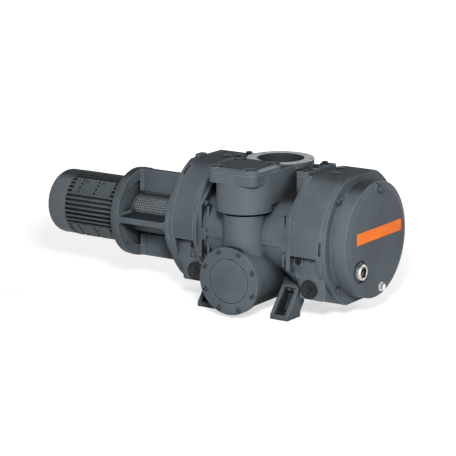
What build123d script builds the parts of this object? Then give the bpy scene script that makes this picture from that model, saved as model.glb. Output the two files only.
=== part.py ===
from build123d import *
import math
import os

# Roots vacuum pump with its flange motor. Millimetres, +Z up.
# X runs along the rotor shafts, the motor at -X and the timing gears at +X.
# -Y is the front, with the valve column and the outlet.
# Origin: on the mounting plane, midway between the four foot bolts.

# ---- driving sizes: pumping chamber and rotors ----
axis_height = 256.0          # rotor shafts above the mounting plane
shaft_spacing = 160.0        # between the two rotor shafts
chamber_length = 360.0       # also the distance between the housing faces
tip_clearance = 0.30         # rotor tip to chamber wall
end_clearance = 0.30         # rotor end to housing face
rotor_clearance = 0.15       # taken off each rotor flank
chamber_wall = 12.0
pitch_radius = shaft_spacing / 2
rolling_radius = pitch_radius / 4            # two-lobe cycloid
tip_radius = pitch_radius + 2 * rolling_radius
chamber_radius = tip_radius - rotor_clearance + tip_clearance
barrel_radius = chamber_radius + chamber_wall

# ---- general fits ----
fit = 0.05                   # running and seating fits between round parts
gap = 0.30                   # between soft or curved parts that only face each other
screw_clearance = 0.5        # hole radius over screw radius

# ---- casing ----
half_chamber = chamber_length / 2
flange_thickness = 15.0
flange_half_width = 218.0
flange_half_height = 204.0
flange_side = 86.0           # half the upright edge of the end flange
flange_top = 89.0            # half the level edge of the end flange
ring_rib_offset = 13.0       # rib edge inside the flange edge
ring_rib_thickness = 8.0
ring_rib_gap = 14.0
tie_bar_height = 13.0
tie_block_length = 18.0
tie_block_height = 38.0

# ---- inlet, valve column and outlet ----
inlet_flange_top = 485.0
inlet_y = 8.0
inlet_register = 35.0       # depth of the pipe bore below the flange face
inlet_throat = 77.0
pipe_flange_radius = 112.5   # 225 mm flange of the 160 mm size
pipe_bolt_circle = 200.0
pipe_bolt_count = 8
pipe_bolt_hole = 5.5
pipe_screw_radius = 5.0
inlet_bore = 79.5
inlet_neck_radius = 96.0
inlet_flange_thickness = 20.0
column_y = -205.0
column_radius = 94.0
neck_radius = 72.0
column_underside = 350.0
lid_seat = 481.0
lid_thickness = 17.0
lid_lug_spacing = 132.0
lid_lug_radius = 26.0
lid_lug_depth = 34.0
lid_counterbore = 20.0
lid_counterbore_depth = 9.0
neck_groove = 7.0
neck_groove_height = 12.0
outlet_axis_height = 126.5
outlet_face = -292.0         # y of the outlet flange face
outlet_flange_thickness = 12.0
outlet_bore = 74.0
duct_radius = 105.0
blank_thickness = 12.0

# ---- bypass valve ----
valve_y = -215.0
valve_chamber_depth = 89.0   # seat below the lid
valve_seat_height = lid_seat - valve_chamber_depth
valve_seat_bore = 50.0
valve_disc_radius = 62.0
valve_disc_thickness = 16.0
valve_stem_radius = 8.0
valve_lift = 25.0
valve_hub_height = 6.0
guide_length = valve_chamber_depth - valve_lift - valve_disc_thickness - valve_hub_height - 12.0
valve_chamber_radius = 82.0

# ---- end housings ----
drum_radius = 228.5
drum_flat = 210.0            # level top and bottom, from the shaft plane
drum_wall = 14.0
gear_drum_length = 122.0
drive_drum_length = 96.0
housing_plate = 52.0
panel_depth = 200.0          # front panel, from the middle plane
panel_top = axis_height - 34.0
panel_bottom = axis_height - 99.0
panel_length = 103.0
panel_step = 4.0
panel_dimple = 3.0
plug_box_top = axis_height - 111.0
plug_box_bottom = axis_height - 177.0
gear_box_start = 30.0        # plug boxes, from the housing face
drive_box_length = 71.0
socket_plug_height = axis_height - 55.5
round_plug_height = axis_height - 143.0
gear_round_plug = 65.0       # from the housing face
drive_round_plug = 18.5
band_length = 13.0           # housing rim that repeats the casing's outline
joint_step = 2.0             # small step in a rim along a joint
deck_length = 45.0           # raised deck between the inlet and the end flange
deck_height = 214.0
spanner_room = 16.0          # around the heads of the housing screws
plug_boss_side = 33.0
plug_boss_proud = 4.0
slot_depth = 8.0
slot_half_length = 22.0

# ---- gear cover ----
cover_flange = 16.0
cover_drum_radius = 193.5
cover_drum_length = 55.0
cover_face_radius = 168.5
cover_chamfer_length = 9.0
cover_wall = 9.0
cover_bolt_circle = 419.0
cover_screw_radius = 6.0

# ---- shafts and bearings ----
rotor_seat_radius = 30.0
journal_radius = 25.0
coupling_shaft_radius = 19.0
seal_bore = 36.0
seal_start = 6.0
seal_width = 8.0
bearing_start = 24.0         # from the housing face
bearing_width = 20.0
bearing_outer = 42.5
bearing_ring = 5.5
roller_count = 12
retainer_thickness = 6.0
pump_shaft_end = 400.0       # free end of the driven shaft stub, from the middle

# ---- timing gears ----
gear_teeth = 32
gear_face = 42.0
gear_start = 66.0            # from the housing face
gear_backlash = 0.25
pressure_angle = 20.0
oil_disc_radius = 98.0
oil_disc_thickness = 4.0
nut_radius = 34.0
nut_thickness = 12.0

# ---- lantern and guard ----
lantern_plate = 18.0
lantern_radius = 151.5
lantern_ring = 11.0
lantern_window_end = 500.0   # |x| where the windows stop at the motor flange
lantern_flange = 15.5
web_thickness = 20.0
web_inner_radius = 76.0
window_fillet = 14.0
guard_radius = 68.0
guard_wall = 1.5

# ---- coupling ----
coupling_radius = 52.0
hub_length = 50.0
claw_length = 20.0
claw_count = 3
claw_angle = 54.0
claw_inner = 29.0

# ---- motor ----
motor_flange_thickness = 14.5
motor_flange_radius = 150.0
motor_spigot_radius = 115.0
motor_spigot_depth = 4.5
motor_bolt_circle = 265.0
motor_screw_radius = 6.5
motor_frame_length = 227.0
motor_body_radius = 100.0
motor_fin_radius = 111.5
motor_fin_count = 44
motor_fin_thickness = 7.0
motor_wall = 8.0
cowl_length = 89.0
cowl_round = 36.0
cowl_wall = 2.0
motor_bearing_outer = 40.0
rotor_core_radius = 60.0
air_gap = 0.5
core_length = 120.0
fan_radius = 88.0
fan_blade_count = 7
terminal_box_length = 110.0
terminal_box_width = 100.0
terminal_box_height = 48.0

# ---- feet ----
foot_outer_x = 177.0
foot_width = 67.0
foot_front = 224.0
foot_depth = 78.0
foot_pad_thickness = 17.0
foot_web = 12.0
foot_bolt_hole = 7.0

# ---- fittings ----
sight_glass_radius = 26.0
sight_glass_proud = 17.0
sight_seat_radius = 39.0
sight_seat_depth = 5.0
drain_plug_radius = 12.0
round_plug_radius = 31.0
round_plug_proud = 6.0
socket_plug_radius = 11.0
top_plug_radius = 16.0
label_length = 282.0
label_height = 38.0
label_thickness = 1.0

drive_y = -shaft_spacing / 2
driven_y = shaft_spacing / 2
housing_x = half_chamber
gear_flange_x = half_chamber + gear_drum_length
drive_flange_x = half_chamber + drive_drum_length
cover_face_x = gear_flange_x + cover_flange + cover_drum_length + cover_chamfer_length
lantern_start = drive_flange_x + lantern_plate
lantern_end = lantern_window_end + lantern_flange
motor_face = lantern_end
frame_start = motor_face + motor_flange_thickness
frame_end = frame_start + motor_frame_length
cowl_start = frame_end + cowl_wall + gap

os.makedirs("parts", exist_ok=True)


# ---- sketch planes and simple solids ----
def across_x(x):
    """Plane square to X: its sketch axes are Y and Z."""
    return Plane((x, 0, 0), x_dir=(0, 1, 0), z_dir=(1, 0, 0))


def across_y(y):
    """Plane square to Y, facing the front: its sketch axes are X and Z."""
    return Plane((0, y, 0), x_dir=(1, 0, 0), z_dir=(0, -1, 0))


def prism_x(sketch, x_low, x_high):
    return extrude(across_x(x_low) * sketch, x_high - x_low)


def prism_y(sketch, y_low, y_high):
    return extrude(across_y(y_high) * sketch, y_high - y_low)


def prism_z(sketch, z_low, z_high):
    return extrude(Plane.XY.offset(z_low) * sketch, z_high - z_low)


def rod_x(radius, x_low, x_high, y=0.0, z=axis_height):
    return prism_x(Pos(y, z) * Circle(radius), x_low, x_high)


def rod_y(radius, y_low, y_high, x=0.0, z=0.0):
    return prism_y(Pos(x, z) * Circle(radius), y_low, y_high)


def rod_z(radius, z_low, z_high, x=0.0, y=0.0):
    return prism_z(Pos(x, y) * Circle(radius), z_low, z_high)


def tube_x(outer, inner, x_low, x_high, y=0.0, z=axis_height):
    return rod_x(outer, x_low, x_high, y, z) - rod_x(inner, x_low - 1, x_high + 1, y, z)


def block(x_low, x_high, y_low, y_high, z_low, z_high):
    middle = ((x_low + x_high) / 2, (y_low + y_high) / 2, (z_low + z_high) / 2)
    return Pos(*middle) * Box(x_high - x_low, y_high - y_low, z_high - z_low)


def turned_x(points, y=0.0, z=axis_height):
    """Closed profile of (x, radius) points turned about a shaft line."""
    outline = make_face(Polyline(*[(x, 0, r) for x, r in points], close=True))
    return Pos(0, y, z) * revolve(outline, Axis.X)


def both_ways(solid, plane):
    return [solid, mirror(solid, plane)]


def save(name, *solids):
    pieces = []
    for solid in solids:
        pieces += list(solid.solids())
    shape = pieces[0] if len(pieces) == 1 else Compound(children=pieces)
    shape.label = name
    export_step(shape, "parts/" + name + ".step")


# ---- outlines ----
def flange_outline(inset=0.0):
    """End flange: upright sides, level top and bottom, slanted corners."""
    width = flange_half_width - inset
    height = flange_half_height - inset
    side = flange_side - inset * 0.4
    top = flange_top - inset * 0.4
    corners = [(width, side), (top, height), (-top, height), (-width, side),
               (-width, -side), (-top, -height), (top, -height), (width, -side)]
    return Pos(0, axis_height) * make_face(Polyline(*corners, close=True))


def drum_outline(inset=0.0):
    """Round housing outline with level top and bottom."""
    round_part = Circle(drum_radius - inset)
    flats = Rectangle(2 * drum_radius + 2, 2 * (drum_flat - inset))
    return Pos(0, axis_height) * (round_part & flats)


def rotor_outline(turn):
    """Two-lobe cycloid: epicycloid tips and hypocycloid waists, less the clearance."""
    a, r, steps = pitch_radius, rolling_radius, 12
    arcs = []
    for quarter in range(4):
        points = []
        for i in range(steps + 1):
            t = i / steps * math.pi / 2
            if quarter % 2 == 0:
                y = (a + r) * math.cos(t) - r * math.cos(5 * t) - rotor_clearance * math.sin(3 * t)
                z = (a + r) * math.sin(t) - r * math.sin(5 * t) + rotor_clearance * math.cos(3 * t)
            else:
                y = (a - r) * math.cos(t) + r * math.cos(3 * t) - rotor_clearance * math.sin(t)
                z = (a - r) * math.sin(t) - r * math.sin(3 * t) - rotor_clearance * math.cos(t)
            points.append(Vector(y, z).rotate(Axis.Z, 90 * quarter + turn))
        if arcs:
            points[0] = arcs[-1] @ 1
        if quarter == 3:
            points[-1] = arcs[0] @ 0
        arcs.append(Spline(*points))
    return make_face(Wire(arcs))


def gear_outline(turn):
    """Involute spur gear on the rotor pitch circle."""
    module = 2 * pitch_radius / gear_teeth
    tip, root = pitch_radius + module, pitch_radius - 1.25 * module
    base = pitch_radius * math.cos(math.radians(pressure_angle))
    involute = math.tan(math.radians(pressure_angle)) - math.radians(pressure_angle)
    half_tooth = math.pi / 2 / gear_teeth - gear_backlash / 2 / pitch_radius
    steps = 3

    def flank_point(radius, side, middle):
        pressure = math.acos(min(1.0, base / radius))
        angle = half_tooth + involute - (math.tan(pressure) - pressure)
        return (radius * math.cos(middle + side * angle), radius * math.sin(middle + side * angle))

    points = []
    for tooth in range(gear_teeth):
        middle = 2 * math.pi * tooth / gear_teeth + math.radians(turn)
        radii = [root] + [base + (tip - base) * i / steps for i in range(steps + 1)]
        points += [flank_point(radius, -1, middle) for radius in radii]
        points += [flank_point(radius, 1, middle) for radius in reversed(radii)]
    return make_face(Polyline(*points, close=True))


# ---- fasteners ----
def cap_screw(radius, length, head=None):
    """Socket head screw pointing down, head seat at z = 0."""
    head_radius = head or 1.6 * radius
    body = rod_z(radius, -length, 0) + rod_z(head_radius, 0, 1.6 * radius)
    socket = prism_z(RegularPolygon(0.95 * radius, 6), 0.8 * radius, 1.6 * radius + 1)
    return body - socket


def hex_screw(radius, length):
    head = prism_z(RegularPolygon(1.85 * radius, 6), 0, 1.3 * radius)
    return rod_z(radius, -length, 0) + head


def facing(solid, point, direction):
    """Put a fastener drawn along +Z at a point, its head towards a direction."""
    return Plane(point, z_dir=direction) * solid


# ---- casing ----
def outlet_points(radius=pipe_bolt_circle / 2):
    step = 2 * math.pi / pipe_bolt_count
    return [(radius * math.cos(step * (i + 0.5)), radius * math.sin(step * (i + 0.5)))
            for i in range(pipe_bolt_count)]


def lug_points():
    half = lid_lug_spacing / 2
    return [(x, column_y + y) for x in (-half, half) for y in (-half, half)]


def column_outline(radius, back_radius, back_y):
    """Round front, sides drawn straight to a round back."""
    edges = [CenterArc((0, column_y), radius, 0, 360), CenterArc((0, back_y), back_radius, 0, 360)]
    return make_hull([edge for arc in edges for edge in arc.edges()])


def casing_outside():
    barrel_half = half_chamber - flange_thickness
    barrel = prism_x(Pos(0, axis_height) * SlotCenterToCenter(shaft_spacing, 2 * barrel_radius),
                     -barrel_half - 1, barrel_half + 1)
    body = barrel
    for side in (-1, 1):
        low, high = sorted((side * (half_chamber - flange_thickness), side * half_chamber))
        body += prism_x(flange_outline(), low, high)
        near = half_chamber - flange_thickness - ring_rib_gap
        low, high = sorted((side * (near - ring_rib_thickness), side * near))
        rib = flange_outline(ring_rib_offset) & (
            Pos(0, axis_height + flange_side - 200) * RectangleRounded(2 * flange_half_width, 400, 30))
        body += prism_x(rib, low, high)
        outer = half_chamber - flange_thickness
        low, high = sorted((side * (outer - tie_block_length), side * (outer + 1)))
        for front in (-1, 1):
            y_low, y_high = sorted((front * barrel_radius, front * flange_half_width))
            middle = axis_height - tie_block_height / 2 - 8
            body += block(low, high, y_low, y_high, middle, middle + tie_block_height)
        low, high = sorted((side * (neck_radius - 8), side * (outer - tie_block_length + 1)))
        bar_top = axis_height - 2
        body += block(low, high, -flange_half_width + 3, -barrel_radius,
                      bar_top - tie_bar_height, bar_top)
        deck = block(outer - deck_length, outer + 1, -flange_top, flange_top,
                     axis_height + barrel_radius - 30, axis_height + deck_height)
        deck = fillet(deck.edges().filter_by(Axis.Z).sort_by(Axis.X)[:2]
                      + deck.faces().sort_by(Axis.Z)[-1].edges().sort_by(Axis.X)[:1], 7)
        for y, z in housing_screw_points():
            if z > axis_height + barrel_radius - 40:
                deck -= rod_x(spanner_room, outer - deck_length - 1, outer, y, z)
                deck -= block(outer - deck_length - 1, outer, *sorted((y, 1.2 * y)),
                              z - spanner_room, z + spanner_room)
        for x, y in deck_plug_points():
            deck += rod_z(top_plug_radius + 2, axis_height + deck_height - 10,
                          axis_height + deck_height + 4, x, y)
            deck -= rod_z(top_plug_radius * 0.7, axis_height + deck_height - 20,
                          axis_height + deck_height + 5, x, y)
        body += deck if side > 0 else mirror(deck, Plane.YZ)
    flange_under = inlet_flange_top - inlet_flange_thickness
    body += rod_z(inlet_neck_radius, axis_height, inlet_flange_top - 2, 0, inlet_y)
    body += rod_z(pipe_flange_radius, flange_under, inlet_flange_top, 0, inlet_y)
    outline = column_outline(column_radius, inlet_neck_radius, inlet_y - 30)
    body += prism_z(outline, axis_height + 118, flange_under)
    body += prism_z(outline - Pos(0, inlet_y) * Circle(pipe_flange_radius + 3), flange_under - 1,
                    lid_seat - 1)
    body += rod_z(column_radius, column_underside, lid_seat, 0, column_y)
    body += prism_z(lid_outline(), lid_seat - lid_lug_depth, lid_seat)
    body += rod_z(neck_radius, outlet_axis_height, column_underside + 1, 0, column_y)
    groove = rod_z(neck_radius + 8, column_underside - neck_groove_height, column_underside, 0, column_y)
    groove -= rod_z(neck_radius - neck_groove, 0, column_underside + 1, 0, column_y)
    body -= groove & block(-200, 200, -400, column_y + 27, 0, 500)
    body += rod_y(duct_radius, outlet_face + 1, -10, 0, outlet_axis_height)
    body += rod_y(pipe_flange_radius, outlet_face, outlet_face + outlet_flange_thickness,
                  0, outlet_axis_height)
    body += block(-128, 128, -110, 78, 40, axis_height - 80)
    for seat in four_ways(foot_seat_block()):
        body += seat
    return body


def casing_passages():
    reach = half_chamber + 1
    cut = rod_x(chamber_radius, -reach, reach, drive_y) + rod_x(chamber_radius, -reach, reach, driven_y)
    cut += rod_z(inlet_bore, inlet_flange_top - inlet_register, inlet_flange_top + 1, 0, inlet_y)
    cut += rod_z(inlet_throat, axis_height + 60, inlet_flange_top - inlet_register + 1, 0, inlet_y)
    duct_end = outlet_bore * 0.6
    front = across_y(outlet_face - 1) * Pos(0, outlet_axis_height) * Circle(outlet_bore)
    back = across_y(-130) * Pos(0, 88) * Circle(duct_end)
    cut += loft([front.face(), back.face()])
    cut += block(-duct_end, duct_end, -131, 46, 88 - duct_end * 0.8, 88 + 30)
    cut += block(-108, 108, -45, 45, 56, axis_height - tip_radius + 14)
    passage = Pos(0, column_y) * Circle(neck_radius - 13) - Pos(0, 0) * Rectangle(400, 2 * 214)
    cut += prism_z(passage, 110, valve_seat_height - 20)
    cut += rod_z(valve_seat_bore, 366, valve_seat_height + 1, 0, valve_y)
    cut += rod_z(valve_chamber_radius, valve_seat_height, lid_seat + 1, 0, column_y)
    cut += block(-46, 46, column_y + 60, inlet_y - 60, valve_seat_height + 10, valve_seat_height + 52)
    return cut


def pump_casing():
    body = casing_outside() - casing_passages()
    for x, y in lug_points():
        body -= rod_z(pipe_screw_radius, lid_seat - 28, lid_seat + 1, x, y)
    for x, z in outlet_points():
        body -= rod_y(pipe_screw_radius, outlet_face - 1, outlet_face + 24, x, outlet_axis_height + z)
    for x, y in outlet_points():
        body -= rod_z(pipe_screw_radius, inlet_flange_top - inlet_flange_thickness + 4,
                      inlet_flange_top + 1, x, y + inlet_y)
    for point in housing_screw_points():
        body -= rod_x(housing_screw_radius + screw_clearance, -half_chamber - 1, -half_chamber
                      + flange_thickness + 1, *point)
        body -= rod_x(housing_screw_radius + screw_clearance, half_chamber - flange_thickness - 1,
                      half_chamber + 1, *point)
    for foot in feet_screw_places():
        body -= foot
    return body


housing_screw_radius = 6.0
housing_screw_length = 38.0


def housing_screw_points():
    """Near the corners of the end flange, clear of the chamber."""
    points = []
    for y in (-1, 1):
        for z in (-1, 1):
            points.append((y * (flange_half_width - 26), axis_height + z * (flange_side + 4)))
            points.append((y * (flange_top - 8), axis_height + z * (flange_half_height - 22)))
    return points


def housing_screws():
    screws = []
    seat = half_chamber - flange_thickness
    for y, z in housing_screw_points():
        for side in (-1, 1):
            screws.append(facing(hex_screw(housing_screw_radius, housing_screw_length),
                                 (side * seat, y, z), (-side, 0, 0)))
    return screws


# ---- feet ----
corner_run = flange_half_width - flange_top
corner_drop = flange_half_height - flange_side
foot_screw_radius = 5.0
corner_out = Vector(0, -corner_drop, -corner_run).normalized()     # off the front lower slant
corner_middle = Vector(0, -(flange_half_width + flange_top) / 2,
                       axis_height - (flange_half_height + flange_side) / 2)


def foot():
    """Front foot at the gear end: pad, two webs and a slanted back plate."""
    outer, inner = foot_outer_x, foot_outer_x - foot_width
    rise = Vector(0, corner_run, -corner_drop).normalized()
    back = -foot_front + foot_depth
    top_front = corner_middle + rise * 9
    top_back = corner_middle + rise * 43
    knee = (top_back.Y, foot_pad_thickness + 30)
    pad = block(inner, outer, -foot_front, back, 0, foot_pad_thickness)
    web = make_face(Polyline(
        (-foot_front + 2, foot_pad_thickness), (top_front.Y, top_front.Z), (top_back.Y, top_back.Z),
        knee, (back, foot_pad_thickness), close=True))
    under = corner_out * foot_web
    plate = make_face(Polyline(
        (top_back.Y, top_back.Z), (top_front.Y, top_front.Z), (top_front.Y + under.Y, top_front.Z + under.Z),
        (top_back.Y + under.Y, top_back.Z + under.Z), close=True))
    shin = make_face(Polyline(
        (back, foot_pad_thickness), knee, (top_back.Y, top_back.Z), (top_back.Y - 10, top_back.Z),
        (top_back.Y - 10, knee[1] + 4), (back - 12, foot_pad_thickness), close=True))
    body = pad + prism_x(web, outer - foot_web, outer) + prism_x(web, inner, inner + foot_web)
    body += prism_x(plate, inner, outer) + prism_x(shin, inner, outer)
    bolt_x, bolt_y = foot_bolt_place()
    body -= rod_z(foot_bolt_hole, -1, foot_pad_thickness + 1, bolt_x, bolt_y)
    for screw_hole in foot_screw_cutters(1, foot_screw_radius + screw_clearance):
        body -= screw_hole
    return body


def foot_seat_block():
    """Cast seat behind a foot, level with the slanted flange edge."""
    rise = Vector(0, corner_run, -corner_drop).normalized()
    low, high = corner_middle + rise * 5, corner_middle + rise * 47
    deep_low, deep_high = low - corner_out * 40, high - corner_out * 36
    seat = make_face(Polyline((low.Y, low.Z), (high.Y, high.Z), (deep_high.Y, deep_high.Z),
                              (deep_low.Y, deep_low.Z), close=True))
    return prism_x(seat, foot_outer_x - foot_width, half_chamber - flange_thickness + 1)


def foot_bolt_place():
    return foot_outer_x - foot_width / 2, -foot_front + foot_depth / 2


def foot_screw_centres():
    rise = Vector(0, corner_run, -corner_drop).normalized()
    middle = foot_outer_x - foot_width / 2
    return [Vector(middle + shift, 0, 0) + corner_middle + rise * 25 for shift in (-10.5, 10.5)]


def foot_screw_cutters(side, radius):
    cutters = []
    for centre in foot_screw_centres():
        place = Vector(side * centre.X, centre.Y, centre.Z)
        cutters.append(Plane(place, z_dir=corner_out) * rod_z(radius, -22, 40))
    return cutters


def four_ways(solid):
    quarters = []
    for front in both_ways(solid, Plane.YZ):
        quarters += both_ways(front, Plane.XZ)
    return quarters


def feet_screw_places():
    holes = []
    for cutter in foot_screw_cutters(1, foot_screw_radius):
        holes += four_ways(cutter & block(0, 400, -400, 0, 0, 400))
    return holes


def foot_screws():
    screws = []
    for centre in foot_screw_centres():
        seat = centre + corner_out * 12
        screws += four_ways(facing(hex_screw(foot_screw_radius, 30), (seat.X, seat.Y, seat.Z), corner_out))
    return screws


# ---- end housings, drawn at +X and mirrored for the drive end ----
def end_housing(length):
    low, high = half_chamber, half_chamber + length
    body = prism_x(flange_outline(), low, low + band_length + 1)
    body += prism_x(drum_outline(), low + band_length, high - joint_step)
    body += prism_x(drum_outline(joint_step), high - joint_step - 1, high)
    box_low, box_high = plug_box_span(length)
    for front in (-1, 1):
        y_low, y_high = sorted((front * panel_depth, front * (drum_radius + 5)))
        body -= block(low - 1, low + min(panel_length, length - 8), y_low, y_high, panel_bottom, panel_top)
        body -= block(low - 1, high - 4, y_low, y_high, axis_height - drum_flat - 1, panel_bottom + 1)
        y_low, y_high = sorted((front * (panel_depth - panel_step), front * (panel_depth + 1)))
        body -= block(low - 1, low + 42, y_low, y_high, panel_bottom, axis_height - 78)
        y_low, y_high = sorted((front * panel_depth, front * (panel_depth - 92)))
        box = block(box_low, box_high, y_low, y_high, plug_box_bottom, plug_box_top)
        rim = box.edges().filter_by(Axis.Y).sort_by(Axis.X)
        body += fillet(rim[-2:] if length > panel_length + 4 else rim[-1:], 8)
        y_low, y_high = sorted((front * (panel_depth - panel_step - 1), front * (panel_depth + plug_boss_proud)))
        body += block(low + 25 - plug_boss_side / 2, low + 25 + plug_boss_side / 2, y_low, y_high,
                      socket_plug_height - plug_boss_side / 2, socket_plug_height + plug_boss_side / 2)
        y_low, y_high = sorted((front * (panel_depth - 4), front * (panel_depth + 10)))
        body -= rod_y(panel_dimple, y_low, y_high, low + 71, socket_plug_height + 2.5)
    cavity = drum_outline(drum_wall) & (Pos(0, axis_height)
                                        * Rectangle(2 * (panel_depth - drum_wall), 2 * drum_radius))
    body -= prism_x(cavity, low + housing_plate, high + 1)
    for y in (drive_y, driven_y):
        body -= rod_x(seal_bore, low - 1, low + bearing_start + 1, y)
        body -= rod_x(bearing_outer + fit, low + bearing_start, low + housing_plate + 1, y)
    for x, y in top_plug_points(length):
        body -= rod_z(top_plug_radius * 0.7, axis_height + 150, axis_height + 250, x, y)
    for front in (-1, 1):
        y_low, y_high = sorted((front * (panel_depth - 14), front * (panel_depth + 10)))
        body -= rod_y(socket_plug_radius * 0.8, y_low, y_high, low + 25, socket_plug_height)
        body -= rod_y(round_plug_radius * 0.8, y_low, y_high, round_plug_x(length), round_plug_height)
    for y, z in housing_screw_points():
        body -= rod_x(housing_screw_radius, low - 1, low + housing_screw_length - flange_thickness + 2, y, z)
    return body


def plug_box_span(length):
    """Ends of the plug boxes, drawn at +X."""
    if length == gear_drum_length:
        return half_chamber + gear_box_start, half_chamber + length
    return half_chamber, half_chamber + drive_box_length


def round_plug_x(length):
    """Middle of the round plugs, drawn at +X."""
    return half_chamber + (gear_round_plug if length == gear_drum_length else drive_round_plug)


def top_plug_points(length):
    """Plugs in the level top of a housing, drawn at +X."""
    if length == gear_drum_length:
        return [(half_chamber + 59, -32), (half_chamber + 27, 50)]
    return [(half_chamber + 36, 10)]


def deck_plug_points():
    return [(half_chamber - 28, -16), (half_chamber - 30, 45)]


def pry_slot(x_low, x_high, angle):
    """Small slot in a rim, for parting the joint."""
    cutter = block(x_low, x_high, -drum_radius - 5, -drum_radius + slot_depth,
                   axis_height - slot_half_length, axis_height + slot_half_length)
    return Pos(0, 0, axis_height) * Rot(angle, 0, 0) * Pos(0, 0, -axis_height) * cutter


def gear_housing():
    body = end_housing(gear_drum_length) - pry_slot(gear_flange_x - 8, gear_flange_x + 1, 0)
    for y, z in cover_screw_points():
        body -= rod_x(cover_screw_radius, gear_flange_x - 30, gear_flange_x + 1, y, z)
    return body


def drive_housing():
    body = end_housing(drive_drum_length)
    for y, z in lantern_screw_points():
        body -= rod_x(cover_screw_radius, drive_flange_x - 30, drive_flange_x + 1, y, z)
    return mirror(body, Plane.YZ)


def ring_points(circle, angles, y=0.0):
    radius = circle / 2
    return [(y + radius * math.cos(math.radians(angle)), axis_height + radius * math.sin(math.radians(angle)))
            for angle in angles]


def cover_screw_points():
    return ring_points(cover_bolt_circle, (45, 135, 225, 315))


def lantern_screw_points():
    return ring_points(cover_bolt_circle, (10, 50, 130, 230, 310, 350))


# ---- gear cover and its fittings ----
def gear_cover():
    start = gear_flange_x
    drum_start = start + cover_flange
    drum_end = drum_start + cover_drum_length
    body = prism_x(drum_outline(joint_step), start, start + joint_step)
    body += prism_x(drum_outline(), start + joint_step, drum_start)
    body += rod_x(cover_drum_radius + 5, start + 1, drum_start + 4)
    body += rod_x(cover_drum_radius, start, drum_end)
    body += turned_x([(drum_end - 1, 0), (drum_end - 1, cover_drum_radius), (drum_end, cover_drum_radius),
                      (cover_face_x, cover_face_radius), (cover_face_x, 0)])
    body -= rod_x(cover_drum_radius - cover_wall, start - 1, drum_end - cover_wall + 4)
    for y, z in cover_screw_points():
        body -= rod_x(cover_screw_radius + screw_clearance, start - 1, drum_start + 1, y, z)
    y, z = sight_place()
    body -= rod_x(sight_seat_radius, cover_face_x - sight_seat_depth, cover_face_x + 20, y, z)
    body -= rod_x(sight_glass_radius - 8, cover_face_x - 30, cover_face_x + 20, y, z)
    for y, z in (drain_place(), fill_place()):
        body += rod_x(drain_plug_radius + 5, cover_face_x - 14, cover_face_x + 2, y, z)
        body -= rod_x(drain_plug_radius - 3, cover_face_x - 10, cover_face_x + 20, y, z)
    return body


def sight_place():
    return -112.0, 171.0


def drain_place():
    return 18.0, 96.0


def fill_place():
    return -4.0, 428.0


def sight_glass():
    y, z = sight_place()
    base = cover_face_x - sight_seat_depth
    ring = tube_x(sight_glass_radius, sight_glass_radius - 7, base, base + sight_glass_proud + 3, y, z)
    ring += tube_x(sight_glass_radius + 4, sight_glass_radius - 7, base, base + 6, y, z)
    glass = rod_x(sight_glass_radius - 7 - fit, base + 8, base + sight_glass_proud - 2, y, z)
    return ring, glass


def sight_oil():
    y, z = sight_place()
    inner = sight_glass_radius - 8 - gap
    lower = Pos(y, z) * (Circle(inner) & Pos(0, -inner) * Rectangle(2 * inner, 2 * inner - 6))
    return prism_x(lower, cover_face_x - sight_seat_depth - 9, cover_face_x - sight_seat_depth + 8)


def flanged_plug(radius, proud, across):
    """Plug drawn along +Z: shank below the seat, round collar and a hexagon above."""
    collar = rod_z(radius + 3, 0, 3)
    return collar + prism_z(RegularPolygon(across, 6), 3, proud) + rod_z(radius - 3, -8, 0)


def cover_plug(place):
    y, z = place
    return facing(flanged_plug(drain_plug_radius, 13, drain_plug_radius),
                  (cover_face_x + 2, y, z), (1, 0, 0))


def socket_plug():
    body = rod_z(socket_plug_radius, 0, 4) + rod_z(socket_plug_radius * 0.8, -10, 0)
    return body - prism_z(RegularPolygon(socket_plug_radius * 0.5, 6), -3, 5)


def round_plug():
    """Large plug with an arrow-shaped slot across its head."""
    body = rod_z(round_plug_radius, 0, round_plug_proud)
    body += rod_z(round_plug_radius * 0.8, -10, 0)
    arm = Pos(0, 0) * Rectangle(round_plug_radius * 1.1, 7)
    arrow = Pos(4, 0) * (Rot(0, 0, 40) * Pos(-12, 0) * arm + Rot(0, 0, -40) * Pos(-12, 0) * arm)
    return body - prism_z(arrow, round_plug_proud - 3.5, round_plug_proud + 1)


def socket_plugs():
    plugs = []
    for side in (-1, 1):
        for front in (-1, 1):
            plugs.append(facing(socket_plug(), (side * (half_chamber + 25),
                                front * (panel_depth + plug_boss_proud), socket_plug_height), (0, front, 0)))
    return plugs


def round_plugs():
    plugs = []
    for side, length in ((-1, drive_drum_length), (1, gear_drum_length)):
        for front in (-1, 1):
            plugs.append(facing(round_plug(), (side * round_plug_x(length), front * panel_depth, round_plug_height),
                                (0, front, 0)))
    return plugs


def top_plugs():
    body = rod_z(top_plug_radius, 0, 3) + rod_z(top_plug_radius * 0.7, -12, 0)
    flush = body - prism_z(RegularPolygon(6, 6), -4, 4)
    body += prism_z(RegularPolygon(top_plug_radius * 0.7, 6), 3, 9)
    height = axis_height + drum_flat
    plugs = [Pos(x, y, height) * flush for x, y in top_plug_points(gear_drum_length)]
    plugs += [Pos(-x, y, height) * flush for x, y in top_plug_points(drive_drum_length)]
    for x, y in deck_plug_points():
        plugs += both_ways(Pos(x, y, axis_height + deck_height + 4) * body, Plane.YZ)
    return plugs


def label_plate():
    z = 280.5
    return block(cover_face_x, cover_face_x + label_thickness, 7.5 - label_length / 2,
                 7.5 + label_length / 2, z - label_height / 2, z + label_height / 2)


def cover_screws():
    seat = gear_flange_x + cover_flange
    return [facing(hex_screw(cover_screw_radius, 40), (seat, y, z), (1, 0, 0))
            for y, z in cover_screw_points()]


# ---- lid, valve and outlet blank ----
def lid_outline():
    side = lid_lug_spacing + 2 * lid_lug_radius
    return Pos(0, column_y) * RectangleRounded(side, side, lid_lug_radius)


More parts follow.
